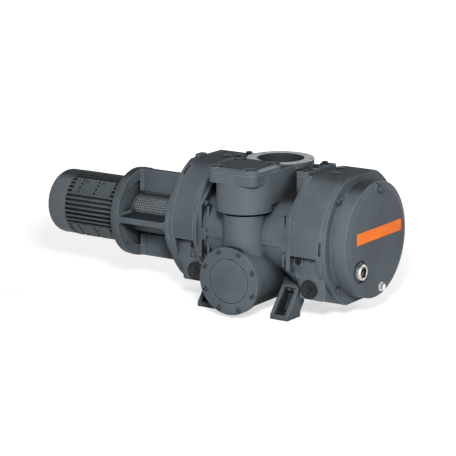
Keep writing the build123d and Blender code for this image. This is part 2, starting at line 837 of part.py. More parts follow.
def valve_lid():
    body = prism_z(lid_outline(), lid_seat, lid_seat + lid_thickness)
    body = chamfer(body.faces().sort_by(Axis.Z)[-1].edges(), 3)
    body += rod_z(24, lid_seat - guide_length, lid_seat + 1, 0, valve_y)
    body -= rod_z(valve_stem_radius + fit, lid_seat - guide_length - 1, lid_seat + 5, 0, valve_y)
    for x, y in lug_points():
        body -= rod_z(pipe_screw_radius + screw_clearance, lid_seat - 1, lid_seat + 40, x, y)
        body -= rod_z(lid_counterbore, lid_seat + lid_thickness - lid_counterbore_depth, lid_seat + 40, x, y)
    return body


def lid_screws():
    seat = lid_seat + lid_thickness - lid_counterbore_depth
    return [facing(cap_screw(pipe_screw_radius - fit, 30), (x, y, seat), (0, 0, 1))
            for x, y in lug_points()]


def bypass_valve():
    low = valve_seat_height
    body = rod_z(valve_disc_radius, low, low + valve_disc_thickness, 0, valve_y)
    body += rod_z(20, low, low + valve_disc_thickness + valve_hub_height, 0, valve_y)
    body += rod_z(valve_stem_radius, low, lid_seat + 3 - valve_lift, 0, valve_y)
    return body


def outlet_blank():
    """Blank flange with a raised middle, drawn square to Y."""
    body = rod_y(pipe_flange_radius, outlet_face - blank_thickness, outlet_face, 0, outlet_axis_height)
    groove = rod_y(outlet_bore + 1.5, -400, outlet_face - blank_thickness + 3, 0, outlet_axis_height)
    body -= groove - rod_y(outlet_bore - 1.5, -401, 0, 0, outlet_axis_height)
    for x, z in outlet_points():
        body -= rod_y(pipe_bolt_hole, -400, 0, x, outlet_axis_height + z)
        body -= rod_y(9, -400, outlet_face - blank_thickness + 3, x, outlet_axis_height + z)
    return body


def outlet_screws():
    seat = outlet_face - blank_thickness + 3
    return [facing(cap_screw(pipe_screw_radius - fit, 24), (x, seat, outlet_axis_height + z), (0, -1, 0))
            for x, z in outlet_points()]


# ---- rotors, shafts, bearings ----
def rotor(y, turn):
    reach = half_chamber - end_clearance
    body = prism_x(Pos(y, axis_height) * rotor_outline(turn), -reach, reach)
    return body - rod_x(rotor_seat_radius + fit, -reach - 1, reach + 1, y)


def shaft(y, drive_stub):
    inner = half_chamber - end_clearance
    far = half_chamber + gear_start + gear_face + oil_disc_thickness + nut_thickness + 2
    near = half_chamber + bearing_start + bearing_width + 4
    left = [(-near, journal_radius), (-near, 0)]
    if drive_stub:
        step = drive_flange_x - 8
        left = [(-step, journal_radius), (-step, coupling_shaft_radius + 4),
                (-lantern_start - 8, coupling_shaft_radius + 4), (-lantern_start - 8, coupling_shaft_radius),
                (-pump_shaft_end, coupling_shaft_radius), (-pump_shaft_end, 0)]
    points = [(far, 0), (far, journal_radius), (inner, journal_radius), (inner, rotor_seat_radius),
              (-inner, rotor_seat_radius), (-inner, journal_radius)] + left
    return turned_x(points, y)


def bearing_places():
    start = half_chamber + bearing_start
    return [(-start - bearing_width, -start), (start, start + bearing_width)]


def outer_rings():
    return [tube_x(bearing_outer, bearing_outer - bearing_ring, low, high, y)
            for y in (drive_y, driven_y) for low, high in bearing_places()]


def inner_rings(y):
    return [tube_x(journal_radius + fit + bearing_ring, journal_radius + fit, low, high, y)
            for low, high in bearing_places()]


def bearing_rollers():
    rollers = []
    inner = journal_radius + fit + bearing_ring
    outer = bearing_outer - bearing_ring
    radius = (outer - inner) / 2 - fit
    circle = (outer + inner) / 2
    for y in (drive_y, driven_y):
        for low, high in bearing_places():
            for i in range(roller_count):
                angle = 2 * math.pi * i / roller_count
                rollers.append(rod_x(radius, low + 3, high - 3, y + circle * math.cos(angle),
                                     axis_height + circle * math.sin(angle)))
    return rollers


def bearing_retainers():
    low = half_chamber + bearing_start + bearing_width
    rings = []
    for y in (drive_y, driven_y):
        ring = tube_x(bearing_outer, journal_radius + 3, low, low + retainer_thickness, y)
        rings += both_ways(ring, Plane.YZ)
    return rings


def shaft_seals():
    rings = []
    for y in (drive_y, driven_y):
        low = half_chamber + seal_start
        ring = tube_x(seal_bore - fit, journal_radius + fit, low, low + seal_width, y)
        rings += both_ways(ring, Plane.YZ)
    return rings


def timing_gear(y, turn):
    low = half_chamber + gear_start
    body = prism_x(Pos(y, axis_height) * gear_outline(turn), low, low + gear_face)
    body += rod_x(journal_radius + 2.5, half_chamber + bearing_start + bearing_width, low + 1, y)
    web_low, web_high = journal_radius + 14, pitch_radius - 16
    for x_low, x_high in ((low - 1, low + 10), (low + gear_face - 10, low + gear_face + 1)):
        body -= tube_x(web_high, web_low, x_low, x_high, y)
    return body - rod_x(journal_radius + fit, half_chamber, low + gear_face + 1, y)


def gear_nut(y, extra=0.0):
    low = half_chamber + gear_start + gear_face + extra
    nut = prism_x(Pos(y, axis_height) * RegularPolygon(nut_radius, 6), low, low + nut_thickness)
    return nut - rod_x(journal_radius + fit, low - 1, low + nut_thickness + 1, y)


def oil_disc():
    low = half_chamber + gear_start + gear_face
    return tube_x(oil_disc_radius, journal_radius + fit, low, low + oil_disc_thickness, driven_y)


# ---- lantern, guard and coupling (drawn at +X, mirrored to the drive end) ----
def lantern():
    body = prism_x(drum_outline(), drive_flange_x + joint_step, lantern_start)
    body += prism_x(drum_outline(joint_step), drive_flange_x, drive_flange_x + joint_step + 1)
    lug = block(drive_flange_x + joint_step, lantern_start, drive_y + 13, drive_y + 61,
                axis_height + drum_flat - 5, axis_height + drum_flat + 11)
    body += fillet(lug.edges().filter_by(Axis.X).sort_by(Axis.Z)[-2:], 9)
    body -= pry_slot(drive_flange_x - 1, drive_flange_x + 8, -53)
    body += rod_x(lantern_radius, lantern_start - 1, lantern_end, drive_y)
    low, high = lantern_start + lantern_ring, lantern_window_end
    reach = lantern_radius + 40
    half_web = web_thickness / 2
    window = block(low, high, half_web, reach, half_web, reach)
    window = fillet(window.edges().filter_by(Axis.Y) + window.edges().filter_by(Axis.Z)
                    .sort_by(Axis.Y)[:2], window_fillet)
    for turn in range(0, 360, 90):
        body -= Pos(0, drive_y, axis_height) * Rot(turn, 0, 0) * window
    body -= rod_x(web_inner_radius, low, high, drive_y)
    body -= rod_x(motor_spigot_radius + fit, high - 1, lantern_end + 1, drive_y)
    body -= rod_x(seal_bore - 2, drive_flange_x - 1, low + 1, drive_y)
    for y, z in lantern_screw_points():
        body -= rod_x(cover_screw_radius + screw_clearance, drive_flange_x - 1, lantern_start + 1, y, z)
    for y, z in motor_screw_points():
        body -= rod_x(motor_screw_radius + screw_clearance, high - 1, lantern_end + 1, y, z)
    return mirror(body, Plane.YZ)


def lantern_screws():
    screws = []
    for y, z in lantern_screw_points():
        screws.append(facing(hex_screw(cover_screw_radius, 42), (-lantern_start, y, z), (-1, 0, 0)))
    return screws


def motor_screw_points():
    return ring_points(motor_bolt_circle, (45, 135, 225, 315), drive_y)


def coupling_guard():
    low, high = lantern_start + lantern_ring, motor_face - motor_spigot_depth
    return mirror(tube_x(guard_radius, guard_radius - guard_wall, low, high, drive_y), Plane.YZ)


def input_seal():
    return mirror(tube_x(seal_bore - 2 - fit, coupling_shaft_radius + 4 + fit, drive_flange_x + 4,
                         drive_flange_x + 14, drive_y), Plane.YZ)


def sector(inner, outer, middle, angle):
    """Ring sector about the drive shaft, as a sketch."""
    wide = outer * 2
    half = math.radians(angle / 2)
    wedge = make_face(Polyline((0, 0), (wide * math.cos(half), -wide * math.sin(half)),
                               (wide * math.cos(half), wide * math.sin(half)), close=True))
    ring = Circle(outer) - Circle(inner)
    return Pos(drive_y, axis_height) * (Rot(0, 0, middle) * (ring & wedge))


coupling_middle = pump_shaft_end + 8.0


def coupling_hub(side):
    """side = -1 for the pump hub, +1 for the motor hub, on the -X line of the shaft."""
    face = coupling_middle + side * claw_length / 2
    back = face + side * hub_length
    low, high = sorted((face, back))
    body = rod_x(coupling_radius, low, high, drive_y)
    low, high = sorted((face, face - side * (claw_length - 2)))
    pitch = 360 / claw_count
    for i in range(claw_count):
        turn = i * pitch + (pitch / 2 if side > 0 else 0)
        body += prism_x(sector(claw_inner, coupling_radius - 1, turn, claw_angle - 12), low - 0.5, high + 0.5)
    low, high = sorted((back + side, face - side * claw_length))
    body -= rod_x(coupling_shaft_radius + fit, low, high, drive_y)
    return mirror(body, Plane.YZ)


def coupling_spider():
    half = claw_length / 2 - 2
    body = tube_x(claw_inner - 1, coupling_shaft_radius + 3, coupling_middle - half,
                  coupling_middle + half, drive_y)
    cushion = (360 - 2 * claw_count * (claw_angle - 12)) / (2 * claw_count) - 1.2
    for i in range(2 * claw_count):
        turn = (i + 0.5) * 180 / claw_count
        body += prism_x(sector(claw_inner - 3, coupling_radius - 3, turn, cushion),
                        coupling_middle - half, coupling_middle + half)
    return mirror(body, Plane.YZ)


# ---- motor (drawn at +X about the drive shaft, mirrored to -X) ----
def motor_end_shield():
    body = rod_x(motor_flange_radius, motor_face, frame_start, drive_y)
    body += rod_x(motor_spigot_radius, motor_face - motor_spigot_depth, motor_face + 1, drive_y)
    body += rod_x(motor_body_radius - motor_wall - fit, frame_start - 1, frame_start + 12, drive_y)
    body -= rod_x(motor_bearing_outer + fit, frame_start - 6, frame_start + 13, drive_y)
    body -= rod_x(coupling_shaft_radius + 2, motor_face - 20, frame_start, drive_y)
    for y, z in motor_screw_points():
        body -= rod_x(motor_screw_radius + screw_clearance, motor_face - 1, frame_start + 1, y, z)
    return mirror(body, Plane.YZ)


def motor_screws():
    screws = []
    for y, z in motor_screw_points():
        screws.append(facing(hex_screw(motor_screw_radius, 34), (-frame_start, y, z), (-1, 0, 0)))
    return screws


def pad_angles():
    return (135, 225)


def motor_frame():
    low, high = frame_start, frame_end
    body = rod_x(motor_body_radius, low, high, drive_y)
    fin = block(low + 6, high, motor_body_radius - 2, motor_fin_radius, -motor_fin_thickness / 2,
                motor_fin_thickness / 2)
    place = Pos(0, drive_y, axis_height)
    for i in range(motor_fin_count):
        body += place * Rot(360 * (i + 0.5) / motor_fin_count, 0, 0) * fin
    for angle in pad_angles():
        pad = block(low + 42, low + 204, motor_body_radius - 12, motor_fin_radius + 1, -29, 29)
        for x in (low + 91, low + 159):
            for z in (-18, 18):
                pad -= rod_y(5, motor_fin_radius - 14, motor_fin_radius + 2, x, z)
            pad -= block(x + 14, x + 22, motor_fin_radius - 8, motor_fin_radius + 2, -30, 30)
        body += place * Rot(angle, 0, 0) * pad
    body += place * block(low + 40, low + 40 + terminal_box_length, motor_body_radius - 12,
                          motor_fin_radius + 4, -terminal_box_width / 2, terminal_box_width / 2)
    body -= rod_x(motor_body_radius - motor_wall, low - 1, high + 1, drive_y)
    return mirror(body, Plane.YZ)


def terminal_box():
    low = frame_start + 40
    face = motor_fin_radius + 4
    body = block(low, low + terminal_box_length, face, face + terminal_box_height,
                 -terminal_box_width / 2, terminal_box_width / 2)
    body = fillet(body.edges().filter_by(Axis.Y), 8)
    inside = block(low + 5, low + terminal_box_length - 5, face + 5, face + terminal_box_height + 1,
                   -terminal_box_width / 2 + 5, terminal_box_width / 2 - 5)
    body -= inside
    body -= rod_z(10, -terminal_box_width, 0, low + terminal_box_length / 2, face + terminal_box_height / 2)
    return mirror(Pos(0, drive_y, axis_height) * body, Plane.YZ)


def terminal_lid():
    low = frame_start + 40
    face = motor_fin_radius + 4 + terminal_box_height
    body = block(low, low + terminal_box_length, face, face + 8,
                 -terminal_box_width / 2, terminal_box_width / 2)
    body = fillet(body.edges().filter_by(Axis.Y), 8)
    body = chamfer(body.faces().sort_by(Axis.Y)[-1].edges(), 3)
    return mirror(Pos(0, drive_y, axis_height) * body, Plane.YZ)


def terminal_board():
    low = frame_start + 40 + 20
    face = motor_fin_radius + 4 + 5
    board = block(low, low + 70, face, face + 8, -28, 28)
    for x in (low + 15, low + 35, low + 55):
        for z in (-14, 14):
            board += rod_y(3, face + 7, face + 20, x, z)
    return mirror(Pos(0, drive_y, axis_height) * board, Plane.YZ)


def cable_gland():
    low = frame_start + 40
    x = low + terminal_box_length / 2
    y = motor_fin_radius + 4 + terminal_box_height / 2
    wall = -terminal_box_width / 2
    body = prism_z(Pos(x, y) * RegularPolygon(16, 6), wall - 8, wall)
    body += rod_z(10 - fit, wall, wall + 9, x, y) + rod_z(13, wall - 22, wall - 8, x, y)
    body -= rod_z(6, wall - 30, wall + 20, x, y)
    return mirror(Pos(0, drive_y, axis_height) * body, Plane.YZ)


def motor_rear_shield():
    low, high = frame_end - 12, frame_end + cowl_wall
    body = rod_x(motor_body_radius - motor_wall - fit, low, frame_end, drive_y)
    body += rod_x(motor_body_radius - 4, frame_end, high, drive_y)
    body -= rod_x(motor_bearing_outer + fit, low - 1, frame_end - 2, drive_y)
    body -= rod_x(coupling_shaft_radius + 2, low - 2, high + 1, drive_y)
    return mirror(body, Plane.YZ)


def motor_bearings():
    rings = []
    for low in (frame_start - 6, frame_end - 2 - 17):
        rings.append(mirror(tube_x(motor_bearing_outer, coupling_shaft_radius + fit, low, low + 17, drive_y),
                            Plane.YZ))
    return rings


core_start = frame_start + (motor_frame_length - core_length) / 2


def stator():
    low, high = core_start, core_start + core_length
    outer = motor_body_radius - motor_wall - fit
    core = tube_x(outer, rotor_core_radius + air_gap, low, high, drive_y)
    for x_low, x_high in ((low - 24, low), (high, high + 24)):
        core += tube_x(outer - 12, rotor_core_radius + 8, x_low, x_high, drive_y)
    return mirror(core, Plane.YZ)


def motor_rotor():
    low, high = core_start, core_start + core_length
    body = tube_x(rotor_core_radius, coupling_shaft_radius + fit, low, high, drive_y)
    for x_low, x_high in ((low - 8, low), (high, high + 8)):
        body += tube_x(rotor_core_radius - 4, rotor_core_radius - 18, x_low, x_high, drive_y)
    return mirror(body, Plane.YZ)


def motor_shaft():
    start = coupling_middle + claw_length / 2
    end = cowl_start + cowl_length - 26
    return mirror(rod_x(coupling_shaft_radius, start, end, drive_y), Plane.YZ)


def motor_fan():
    low = frame_end + 18
    body = tube_x(34, coupling_shaft_radius + fit, low, low + 36, drive_y)
    body += tube_x(fan_radius, 30, low, low + 3, drive_y)
    blade = block(low + 2, low + 34, 30, fan_radius, -1.5, 1.5)
    for i in range(fan_blade_count):
        body += Pos(0, drive_y, axis_height) * Rot(360 * i / fan_blade_count, 0, 0) * blade
    return mirror(body, Plane.YZ)


def fan_cowl():
    low, high = frame_end, frame_end + cowl_length
    shell = rod_x(motor_fin_radius - 0.5, low, high, drive_y)
    shell = fillet(shell.faces().sort_by(Axis.X)[-1].edges(), cowl_round)
    inside = rod_x(motor_fin_radius - 0.5 - cowl_wall, low - 1, high - cowl_wall, drive_y)
    inside = fillet(inside.faces().sort_by(Axis.X)[-1].edges(), cowl_round - cowl_wall)
    shell -= inside
    rim = tube_x(motor_fin_radius - 0.5, motor_body_radius - 4 + fit, low, low + cowl_wall, drive_y)
    shell += rim
    slot = block(high - 10, high + 1, 24, motor_fin_radius - cowl_round - 4, -3, 3)
    for i in range(16):
        shell -= Pos(0, drive_y, axis_height) * Rot(360 * i / 16, 0, 0) * slot
    return mirror(shell, Plane.YZ)


# ---- write every piece ----
def write_casing():
    save("pump_casing", pump_casing())
    save("housing_screws", *housing_screws())
    save("gear_end_housing", gear_housing())
    save("drive_end_housing", drive_housing())
    front_gear_foot = foot()
    back_gear_foot = mirror(front_gear_foot, Plane.XZ)
    save("front_foot_gear_end", front_gear_foot)
    save("back_foot_gear_end", back_gear_foot)
    save("front_foot_drive_end", mirror(front_gear_foot, Plane.YZ))
    save("back_foot_drive_end", mirror(back_gear_foot, Plane.YZ))
    save("foot_screws", *foot_screws())
    save("valve_lid", valve_lid())
    save("lid_screws", *lid_screws())
    save("bypass_valve", bypass_valve())
    save("outlet_blank", outlet_blank())
    save("outlet_screws", *outlet_screws())


def write_gear_end():
    save("gear_cover", gear_cover())
    save("cover_screws", *cover_screws())
    ring, glass = sight_glass()
    save("sight_glass_ring", ring)
    save("sight_glass_window", glass)
    save("sight_glass_oil", sight_oil())
    save("oil_plugs", cover_plug(drain_place()), cover_plug(fill_place()))
    save("socket_plugs", *socket_plugs())
    save("round_plugs", *round_plugs())
    save("top_plugs", *top_plugs())
    save("label_plate", label_plate())


def write_rotating_group():
    save("drive_rotor", rotor(drive_y, 45))
    save("driven_rotor", rotor(driven_y, -45))
    save("drive_shaft", shaft(drive_y, True))
    save("driven_shaft", shaft(driven_y, False))
    save("bearing_outer_rings", *outer_rings())
    save("bearing_rollers", *bearing_rollers())
    save("bearing_retainers", *bearing_retainers())
    save("drive_bearing_inner_rings", *inner_rings(drive_y))
    save("driven_bearing_inner_rings", *inner_rings(driven_y))
    save("chamber_shaft_seals", *shaft_seals())
    save("drive_timing_gear", timing_gear(drive_y, 0))
    save("driven_timing_gear", timing_gear(driven_y, 180 + 180 / gear_teeth))
    save("drive_gear_nut", gear_nut(drive_y))
    save("driven_gear_nut", gear_nut(driven_y, oil_disc_thickness))
    save("oil_splash_disc", oil_disc())
    save("input_shaft_seal", input_seal())


def write_drive_end():
    save("coupling_lantern", lantern())
    save("lantern_screws", *lantern_screws())
    save("coupling_guard", coupling_guard())
    save("pump_coupling_hub", coupling_hub(-1))
    save("motor_coupling_hub", coupling_hub(1))
    save("coupling_spider", coupling_spider())
    save("motor_end_shield", motor_end_shield())
    save("motor_screws", *motor_screws())
    save("motor_frame", motor_frame())
    save("motor_rear_shield", motor_rear_shield())
    save("motor_bearings", *motor_bearings())
    save("motor_stator", stator())
    save("motor_rotor", motor_rotor())
    save("motor_shaft", motor_shaft())
    save("motor_fan", motor_fan())
    save("fan_cowl", fan_cowl())
    save("terminal_box", terminal_box())
    save("terminal_lid", terminal_lid())
    save("terminal_board", terminal_board())
    save("cable_gland", cable_gland())


write_casing()
write_gear_end()
write_rotating_group()
write_drive_end()
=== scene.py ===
import bmesh
import bpy
import math
import numpy as np
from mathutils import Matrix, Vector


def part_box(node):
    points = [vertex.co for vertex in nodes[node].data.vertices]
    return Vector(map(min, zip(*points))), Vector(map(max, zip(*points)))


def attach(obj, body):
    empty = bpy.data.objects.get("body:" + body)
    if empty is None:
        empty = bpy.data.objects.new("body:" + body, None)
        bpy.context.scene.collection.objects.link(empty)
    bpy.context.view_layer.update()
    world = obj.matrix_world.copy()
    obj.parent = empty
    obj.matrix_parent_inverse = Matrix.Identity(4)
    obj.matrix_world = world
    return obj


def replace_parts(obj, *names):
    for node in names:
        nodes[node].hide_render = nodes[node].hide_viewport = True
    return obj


# Roots vacuum pump: dresses the fixed CAD frame with finishes and fine pieces.
# Metres, +X towards the timing gears, -Y the front, +Z up.

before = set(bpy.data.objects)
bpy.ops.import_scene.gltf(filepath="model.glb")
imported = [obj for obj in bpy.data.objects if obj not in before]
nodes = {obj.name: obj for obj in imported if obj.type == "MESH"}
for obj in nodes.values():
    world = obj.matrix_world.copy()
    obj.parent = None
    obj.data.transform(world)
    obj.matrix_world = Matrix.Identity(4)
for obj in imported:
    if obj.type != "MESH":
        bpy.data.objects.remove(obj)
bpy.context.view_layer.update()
print("frame loaded:", len(nodes), "nodes")


shaderQuality = {"bevelSamples": 6, "cavitySamples": 8, "edgeRange": (0.01, 0.22)}


class Value:
    # one shader socket; arithmetic on it adds Math nodes
    def __init__(self, shader, socket):
        self.shader, self.socket = shader, socket

    def calc(self, operation, *others, swap=False):
        terms = [self, *others]
        if swap:
            terms.reverse()
        return self.shader.node("ShaderNodeMath", {"operation": operation}, dict(enumerate(terms)))

    def __add__(self, other): return self.calc("ADD", other)
    def __radd__(self, other): return self.calc("ADD", other)
    def __sub__(self, other): return self.calc("SUBTRACT", other)
    def __rsub__(self, other): return self.calc("SUBTRACT", other, swap=True)
    def __mul__(self, other): return self.calc("MULTIPLY", other)
    def __rmul__(self, other): return self.calc("MULTIPLY", other)
    def __pow__(self, other): return self.calc("POWER", other)
    def __gt__(self, other): return self.calc("GREATER_THAN", other)
    def __lt__(self, other): return self.calc("LESS_THAN", other)

    def ramp(self, low, high):
        # 0 below low, 1 above high, smooth between
        return self.shader.node("ShaderNodeMapRange", {"interpolation_type": "SMOOTHSTEP"},
                                {"Value": self, "From Min": low, "From Max": high})


class NodeTree:
    # a node tree that is filled by node and link
    def __init__(self, tree):
        self.tree = tree

    def node(self, kind, settings=None, inputs=None, out=0):
        made = self.tree.nodes.new(kind)
        for key, value in (settings or {}).items():
            setattr(made, key, value)
        for key, value in (inputs or {}).items():
            self.link(value, made.inputs[key])
        return Value(self, made.outputs[out])

    def link(self, value, socket):
        if isinstance(value, Value):
            self.tree.links.new(value.socket, socket)
        elif isinstance(value, tuple) and len(value) == 3 and socket.type == "RGBA":
            socket.default_value = (*value, 1.0)
        else:
            socket.default_value = value


class Shader(NodeTree):
    # a new material with its Principled shader
    def __init__(self, name):
        self.material = bpy.data.materials.new(name)
        self.material.use_nodes = True
        super().__init__(self.material.node_tree)
        self.skin = self.tree.nodes["Principled BSDF"]
        self.place = self.node("ShaderNodeTexCoord", out="Object")

    def set(self, **inputs):
        for key, value in inputs.items():
            self.link(value, self.skin.inputs[key.replace("_", " ")])

    def fed(self, name):
        # what now feeds one socket of the Principled shader
        return Value(self, self.skin.inputs[name].links[0].from_socket)

    def noise(self, scale, detail, rough, stretch=None):
        vector = self.place
        if stretch:
            vector = self.node("ShaderNodeMapping", {}, {"Vector": vector, "Scale": stretch})
        return self.node("ShaderNodeTexNoise", {},
                         {"Vector": vector, "Scale": scale, "Detail": detail, "Roughness": rough})

    def axis(self, which):
        return self.node("ShaderNodeSeparateXYZ", {}, {0: self.place}, out=which)

    def facing(self, which):
        # how far the face looks along a world axis
        normal = self.node("ShaderNodeNewGeometry", out="Normal")
        return self.node("ShaderNodeSeparateXYZ", {}, {0: normal}, out=which)

    def mix(self, factor, first, second):
        return self.node("ShaderNodeMix", {"data_type": "RGBA"},
                         {0: factor, 6: first, 7: second}, out=2)

    def rounded(self, radius):
        # normal that rounds the sharp edges
        return self.node("ShaderNodeBevel", {"samples": shaderQuality["bevelSamples"]},
                         {"Radius": radius})

    def edges(self, normal):
        # 1 on edges, 0 on flats: how far the rounded normal leaves the face
        face = self.node("ShaderNodeNewGeometry", out="True Normal")
        dot = self.node("ShaderNodeVectorMath", {"operation": "DOT_PRODUCT"}, {0: normal, 1: face},
                        out="Value")
        return (1.0 - dot).ramp(*shaderQuality["edgeRange"])

    def cavity(self, reach, low, high):
        # 1 in deep corners, 0 in the open
        openness = self.node("ShaderNodeAmbientOcclusion",
                             {"samples": shaderQuality["cavitySamples"]}, {"Distance": reach},
                             out="AO")
        return (1.0 - openness).ramp(low, high)

    def bump(self, height, strength, distance, normal):
        self.set(Normal=self.node("ShaderNodeBump", {}, {"Height": height, "Strength": strength,
                                                         "Distance": distance, "Normal": normal}))


def scaled(colour, share):
    return tuple(part * share for part in colour)


# each noise is given as scale, detail and roughness; a share is how much of a tone shows,
# and a tone is a factor on the paint's own colour
castSurface = {
    "cloud": (5.0, 4.0, 0.6), "cloudRange": (0.32, 0.68), "darkTone": 0.82, "lightTone": 1.14,
    "speck": (900.0, 2.0, 0.7), "speckRange": (0.66, 0.8), "speckShare": 0.25, "speckTone": 2.0,
    "edgeShare": 0.85, "edgeTone": 3.1,
    # top shade: painted shade that darkens faces looking up and makes them rougher
    "topShadeRange": (0.80, 0.97), "topShadeShare": 0.92, "topShadeTone": 0.16,
    # corner shade: painted shade that darkens deep corners and gaps and makes them rougher
    "cornerShadeShare": 0.9, "cornerShadeTone": 0.08,
    "cloudRough": 0.12, "cornerShadeRough": 0.3, "topShadeRough": 0.3, "specular": 0.12,
    "grain": (520.0, 2.0, 0.6), "grainHeight": 0.5, "wave": (38.0, 3.0, 0.5), "waveHeight": 1.2,
    "bump": 0.45, "depth": 4,
}
turnedSurface = {
    "patch": (60.0, 4.0, 0.6), "patchRange": (0.35, 0.7), "dullTone": 0.8,
    "lines": (300.0, 2.0, 0.5), "stretch": (1.0, 6.0, 6.0),
    "patchRough": 0.15, "lineRough": 0.08, "bump": 0.25, "depth": 0.0002,
}
mouldedSurface = {
    "grain": (3.0, 0.6), "dust": (14.0, 4.0, 0.6), "dustRange": (0.4, 0.75), "dustShare": 0.4,
    "dustTone": 1.5, "dustLift": 0.003, "dustRough": 0.15, "specular": 0.2,
    "bump": 0.3, "depth": 0.0002,
}


def paint(name, colour, peel=0.00012, edgeRadius=0.0028, shine=0.46, recess=(0.06, 0.28, 0.75)):
    # satin paint over a sand casting: fine peel, slow waves, edges made lighter as painted highlight
    # and wear, painted shade that darkens level tops and painted shade in deep corners; recess is a
    # cavity's reach and where that painted shade starts and is full
    shader, cast = Shader(name), castSurface
    soft = shader.rounded(edgeRadius)
    edgeWearAndHighlight = shader.edges(soft)
    cloud = shader.noise(*cast["cloud"])
    grain = shader.noise(*cast["grain"])
    wave = shader.noise(*cast["wave"])
    tone = shader.mix(cloud.ramp(*cast["cloudRange"]), scaled(colour, cast["darkTone"]),
                      scaled(colour, cast["lightTone"]))
    speck = shader.noise(*cast["speck"]).ramp(*cast["speckRange"])
    tone = shader.mix(speck * cast["speckShare"], tone, scaled(colour, cast["speckTone"]))
    # painted highlight and wear: the edges are made much lighter
    tone = shader.mix(edgeWearAndHighlight * cast["edgeShare"], tone, scaled(colour, cast["edgeTone"]))
    # painted shade: level tops are darkened by the way they face
    paintedTopShade = shader.facing("Z").ramp(*cast["topShadeRange"])
    tone = shader.mix(paintedTopShade * cast["topShadeShare"], tone, scaled(colour, cast["topShadeTone"]))
    # painted shade: deep corners and gaps are darkened by how closed in they are
    paintedCornerShade = shader.cavity(*recess)
    tone = shader.mix(paintedCornerShade * cast["cornerShadeShare"], tone, scaled(colour, cast["cornerShadeTone"]))
    rough = shine + cloud * cast["cloudRough"] + paintedCornerShade * cast["cornerShadeRough"] + paintedTopShade * cast["topShadeRough"]
    shader.set(Base_Color=tone, Roughness=rough, Specular_IOR_Level=cast["specular"])
    shader.bump(grain * cast["grainHeight"] + wave * cast["waveHeight"], cast["bump"],
                peel * cast["depth"], soft)
    return shader


def steel(name, colour, rough, edgeRadius=0.0006):
    # machined or plated steel with fine turning lines and dull patches
    shader, turned = Shader(name), turnedSurface
    soft = shader.rounded(edgeRadius)
    patch = shader.noise(*turned["patch"])
    lines = shader.noise(*turned["lines"], stretch=turned["stretch"])
    tone = shader.mix(patch.ramp(*turned["patchRange"]), scaled(colour, turned["dullTone"]), colour)
    shader.set(Base_Color=tone, Metallic=1.0,
               Roughness=rough + patch * turned["patchRough"] + lines * turned["lineRough"])
    shader.bump(lines, turned["bump"], turned["depth"], soft)
    return shader


def plastic(name, colour, rough, bumpSize=400.0, edgeRadius=0.0008):
    # moulded or printed surface with a fine grain and patches of pale dust
    shader, moulded = Shader(name), mouldedSurface
    soft = shader.rounded(edgeRadius)
    grain = shader.noise(bumpSize, *moulded["grain"])
    dust = shader.noise(*moulded["dust"])
    dusty = tuple(part + moulded["dustLift"] for part in scaled(colour, moulded["dustTone"]))
    tone = shader.mix(dust.ramp(*moulded["dustRange"]) * moulded["dustShare"], colour, dusty)
    shader.set(Base_Color=tone, Roughness=rough + dust * moulded["dustRough"],
               Specular_IOR_Level=moulded["specular"])
    shader.bump(grain, moulded["bump"], moulded["depth"], soft)
    return shader


def dress(shader, *names):
    # gives CAD nodes their finish
    for name in names:
        mesh = nodes[name].data
        mesh.materials.clear()
        mesh.materials.append(shader.material)


finish = {
    "pumpPaint": (0.086, 0.104, 0.119),
    "motorPaint": (0.077, 0.092, 0.099),
    "screwPaint": (0.066, 0.078, 0.088),
    "guard": (0.17, 0.19, 0.21),
    # the cowl's colour is the motor paint made lighter: painted light that makes up for weaker lamp
    # light at that end
    "cowlLitPaint": (0.124, 0.148, 0.166),
    "steel": (0.62, 0.62, 0.60),
    "darkSteel": (0.36, 0.36, 0.36),
    "iron": (0.30, 0.30, 0.31),
    "blackOxide": (0.016, 0.017, 0.019),
    "black": (0.009, 0.010, 0.012),
    "orange": (1.0, 0.20, 0.012),
    "oil": (1.0, 0.36, 0.04),
    "plug": (0.016, 0.018, 0.020),
}

screwCoat = {"peel": 0.00005, "edgeRadius": 0.0009, "shine": 0.36}

pumpPaint = paint("pumpPaint", finish["pumpPaint"])
motorPaint = paint("motorPaint", finish["motorPaint"], edgeRadius=0.0012, shine=0.45)
screwPaint = paint("screwPaint", finish["screwPaint"], **screwCoat)
guardPaint = paint("guardPaint", finish["guard"], peel=0.00004, edgeRadius=0.0004, shine=0.40,
                   recess=(0.03, 0.10, 0.45))
# painted light: a lighter copy of the motor paint for the cowl
cowlLitPaint = paint("cowlLitPaint", finish["cowlLitPaint"], peel=0.00008, edgeRadius=0.0012, shine=0.44)
platedSteel = steel("platedSteel", finish["steel"], rough=0.28)
darkSteel = steel("darkSteel", finish["darkSteel"], rough=0.36)
castIron = steel("castIron", finish["iron"], rough=0.5)
blackedSteel = plastic("blackedSteel", finish["blackOxide"], rough=0.6)
blackPlastic = plastic("blackPlastic", finish["black"], rough=0.45)
plugPlastic = plastic("plugPlastic", finish["plug"], rough=0.55)
rubber = plastic("rubber", finish["black"], rough=0.75)
orangeStrip = plastic("orangeStrip", finish["orange"], rough=0.38, bumpSize=900.0, edgeRadius=0.0003)
oilTint = plastic("oilTint", finish["oil"], rough=0.12, bumpSize=50.0, edgeRadius=0.0003)


oilPlugs = {"paintedAbove": 0.30, "bare": (0.72, 0.72, 0.71), "smoother": 0.4}


def plugFinish():
    # the filler plug is painted over, the drain plug is bare plated steel
    shader = paint("plugFinish", finish["screwPaint"], **screwCoat)
    bare = shader.axis("Z") < oilPlugs["paintedAbove"]
    shader.set(Base_Color=shader.mix(bare, shader.fed("Base Color"), oilPlugs["bare"]),
               Metallic=bare * 1.0,
               Roughness=shader.fed("Roughness") * (1.0 - bare * oilPlugs["smoother"]))
    return shader


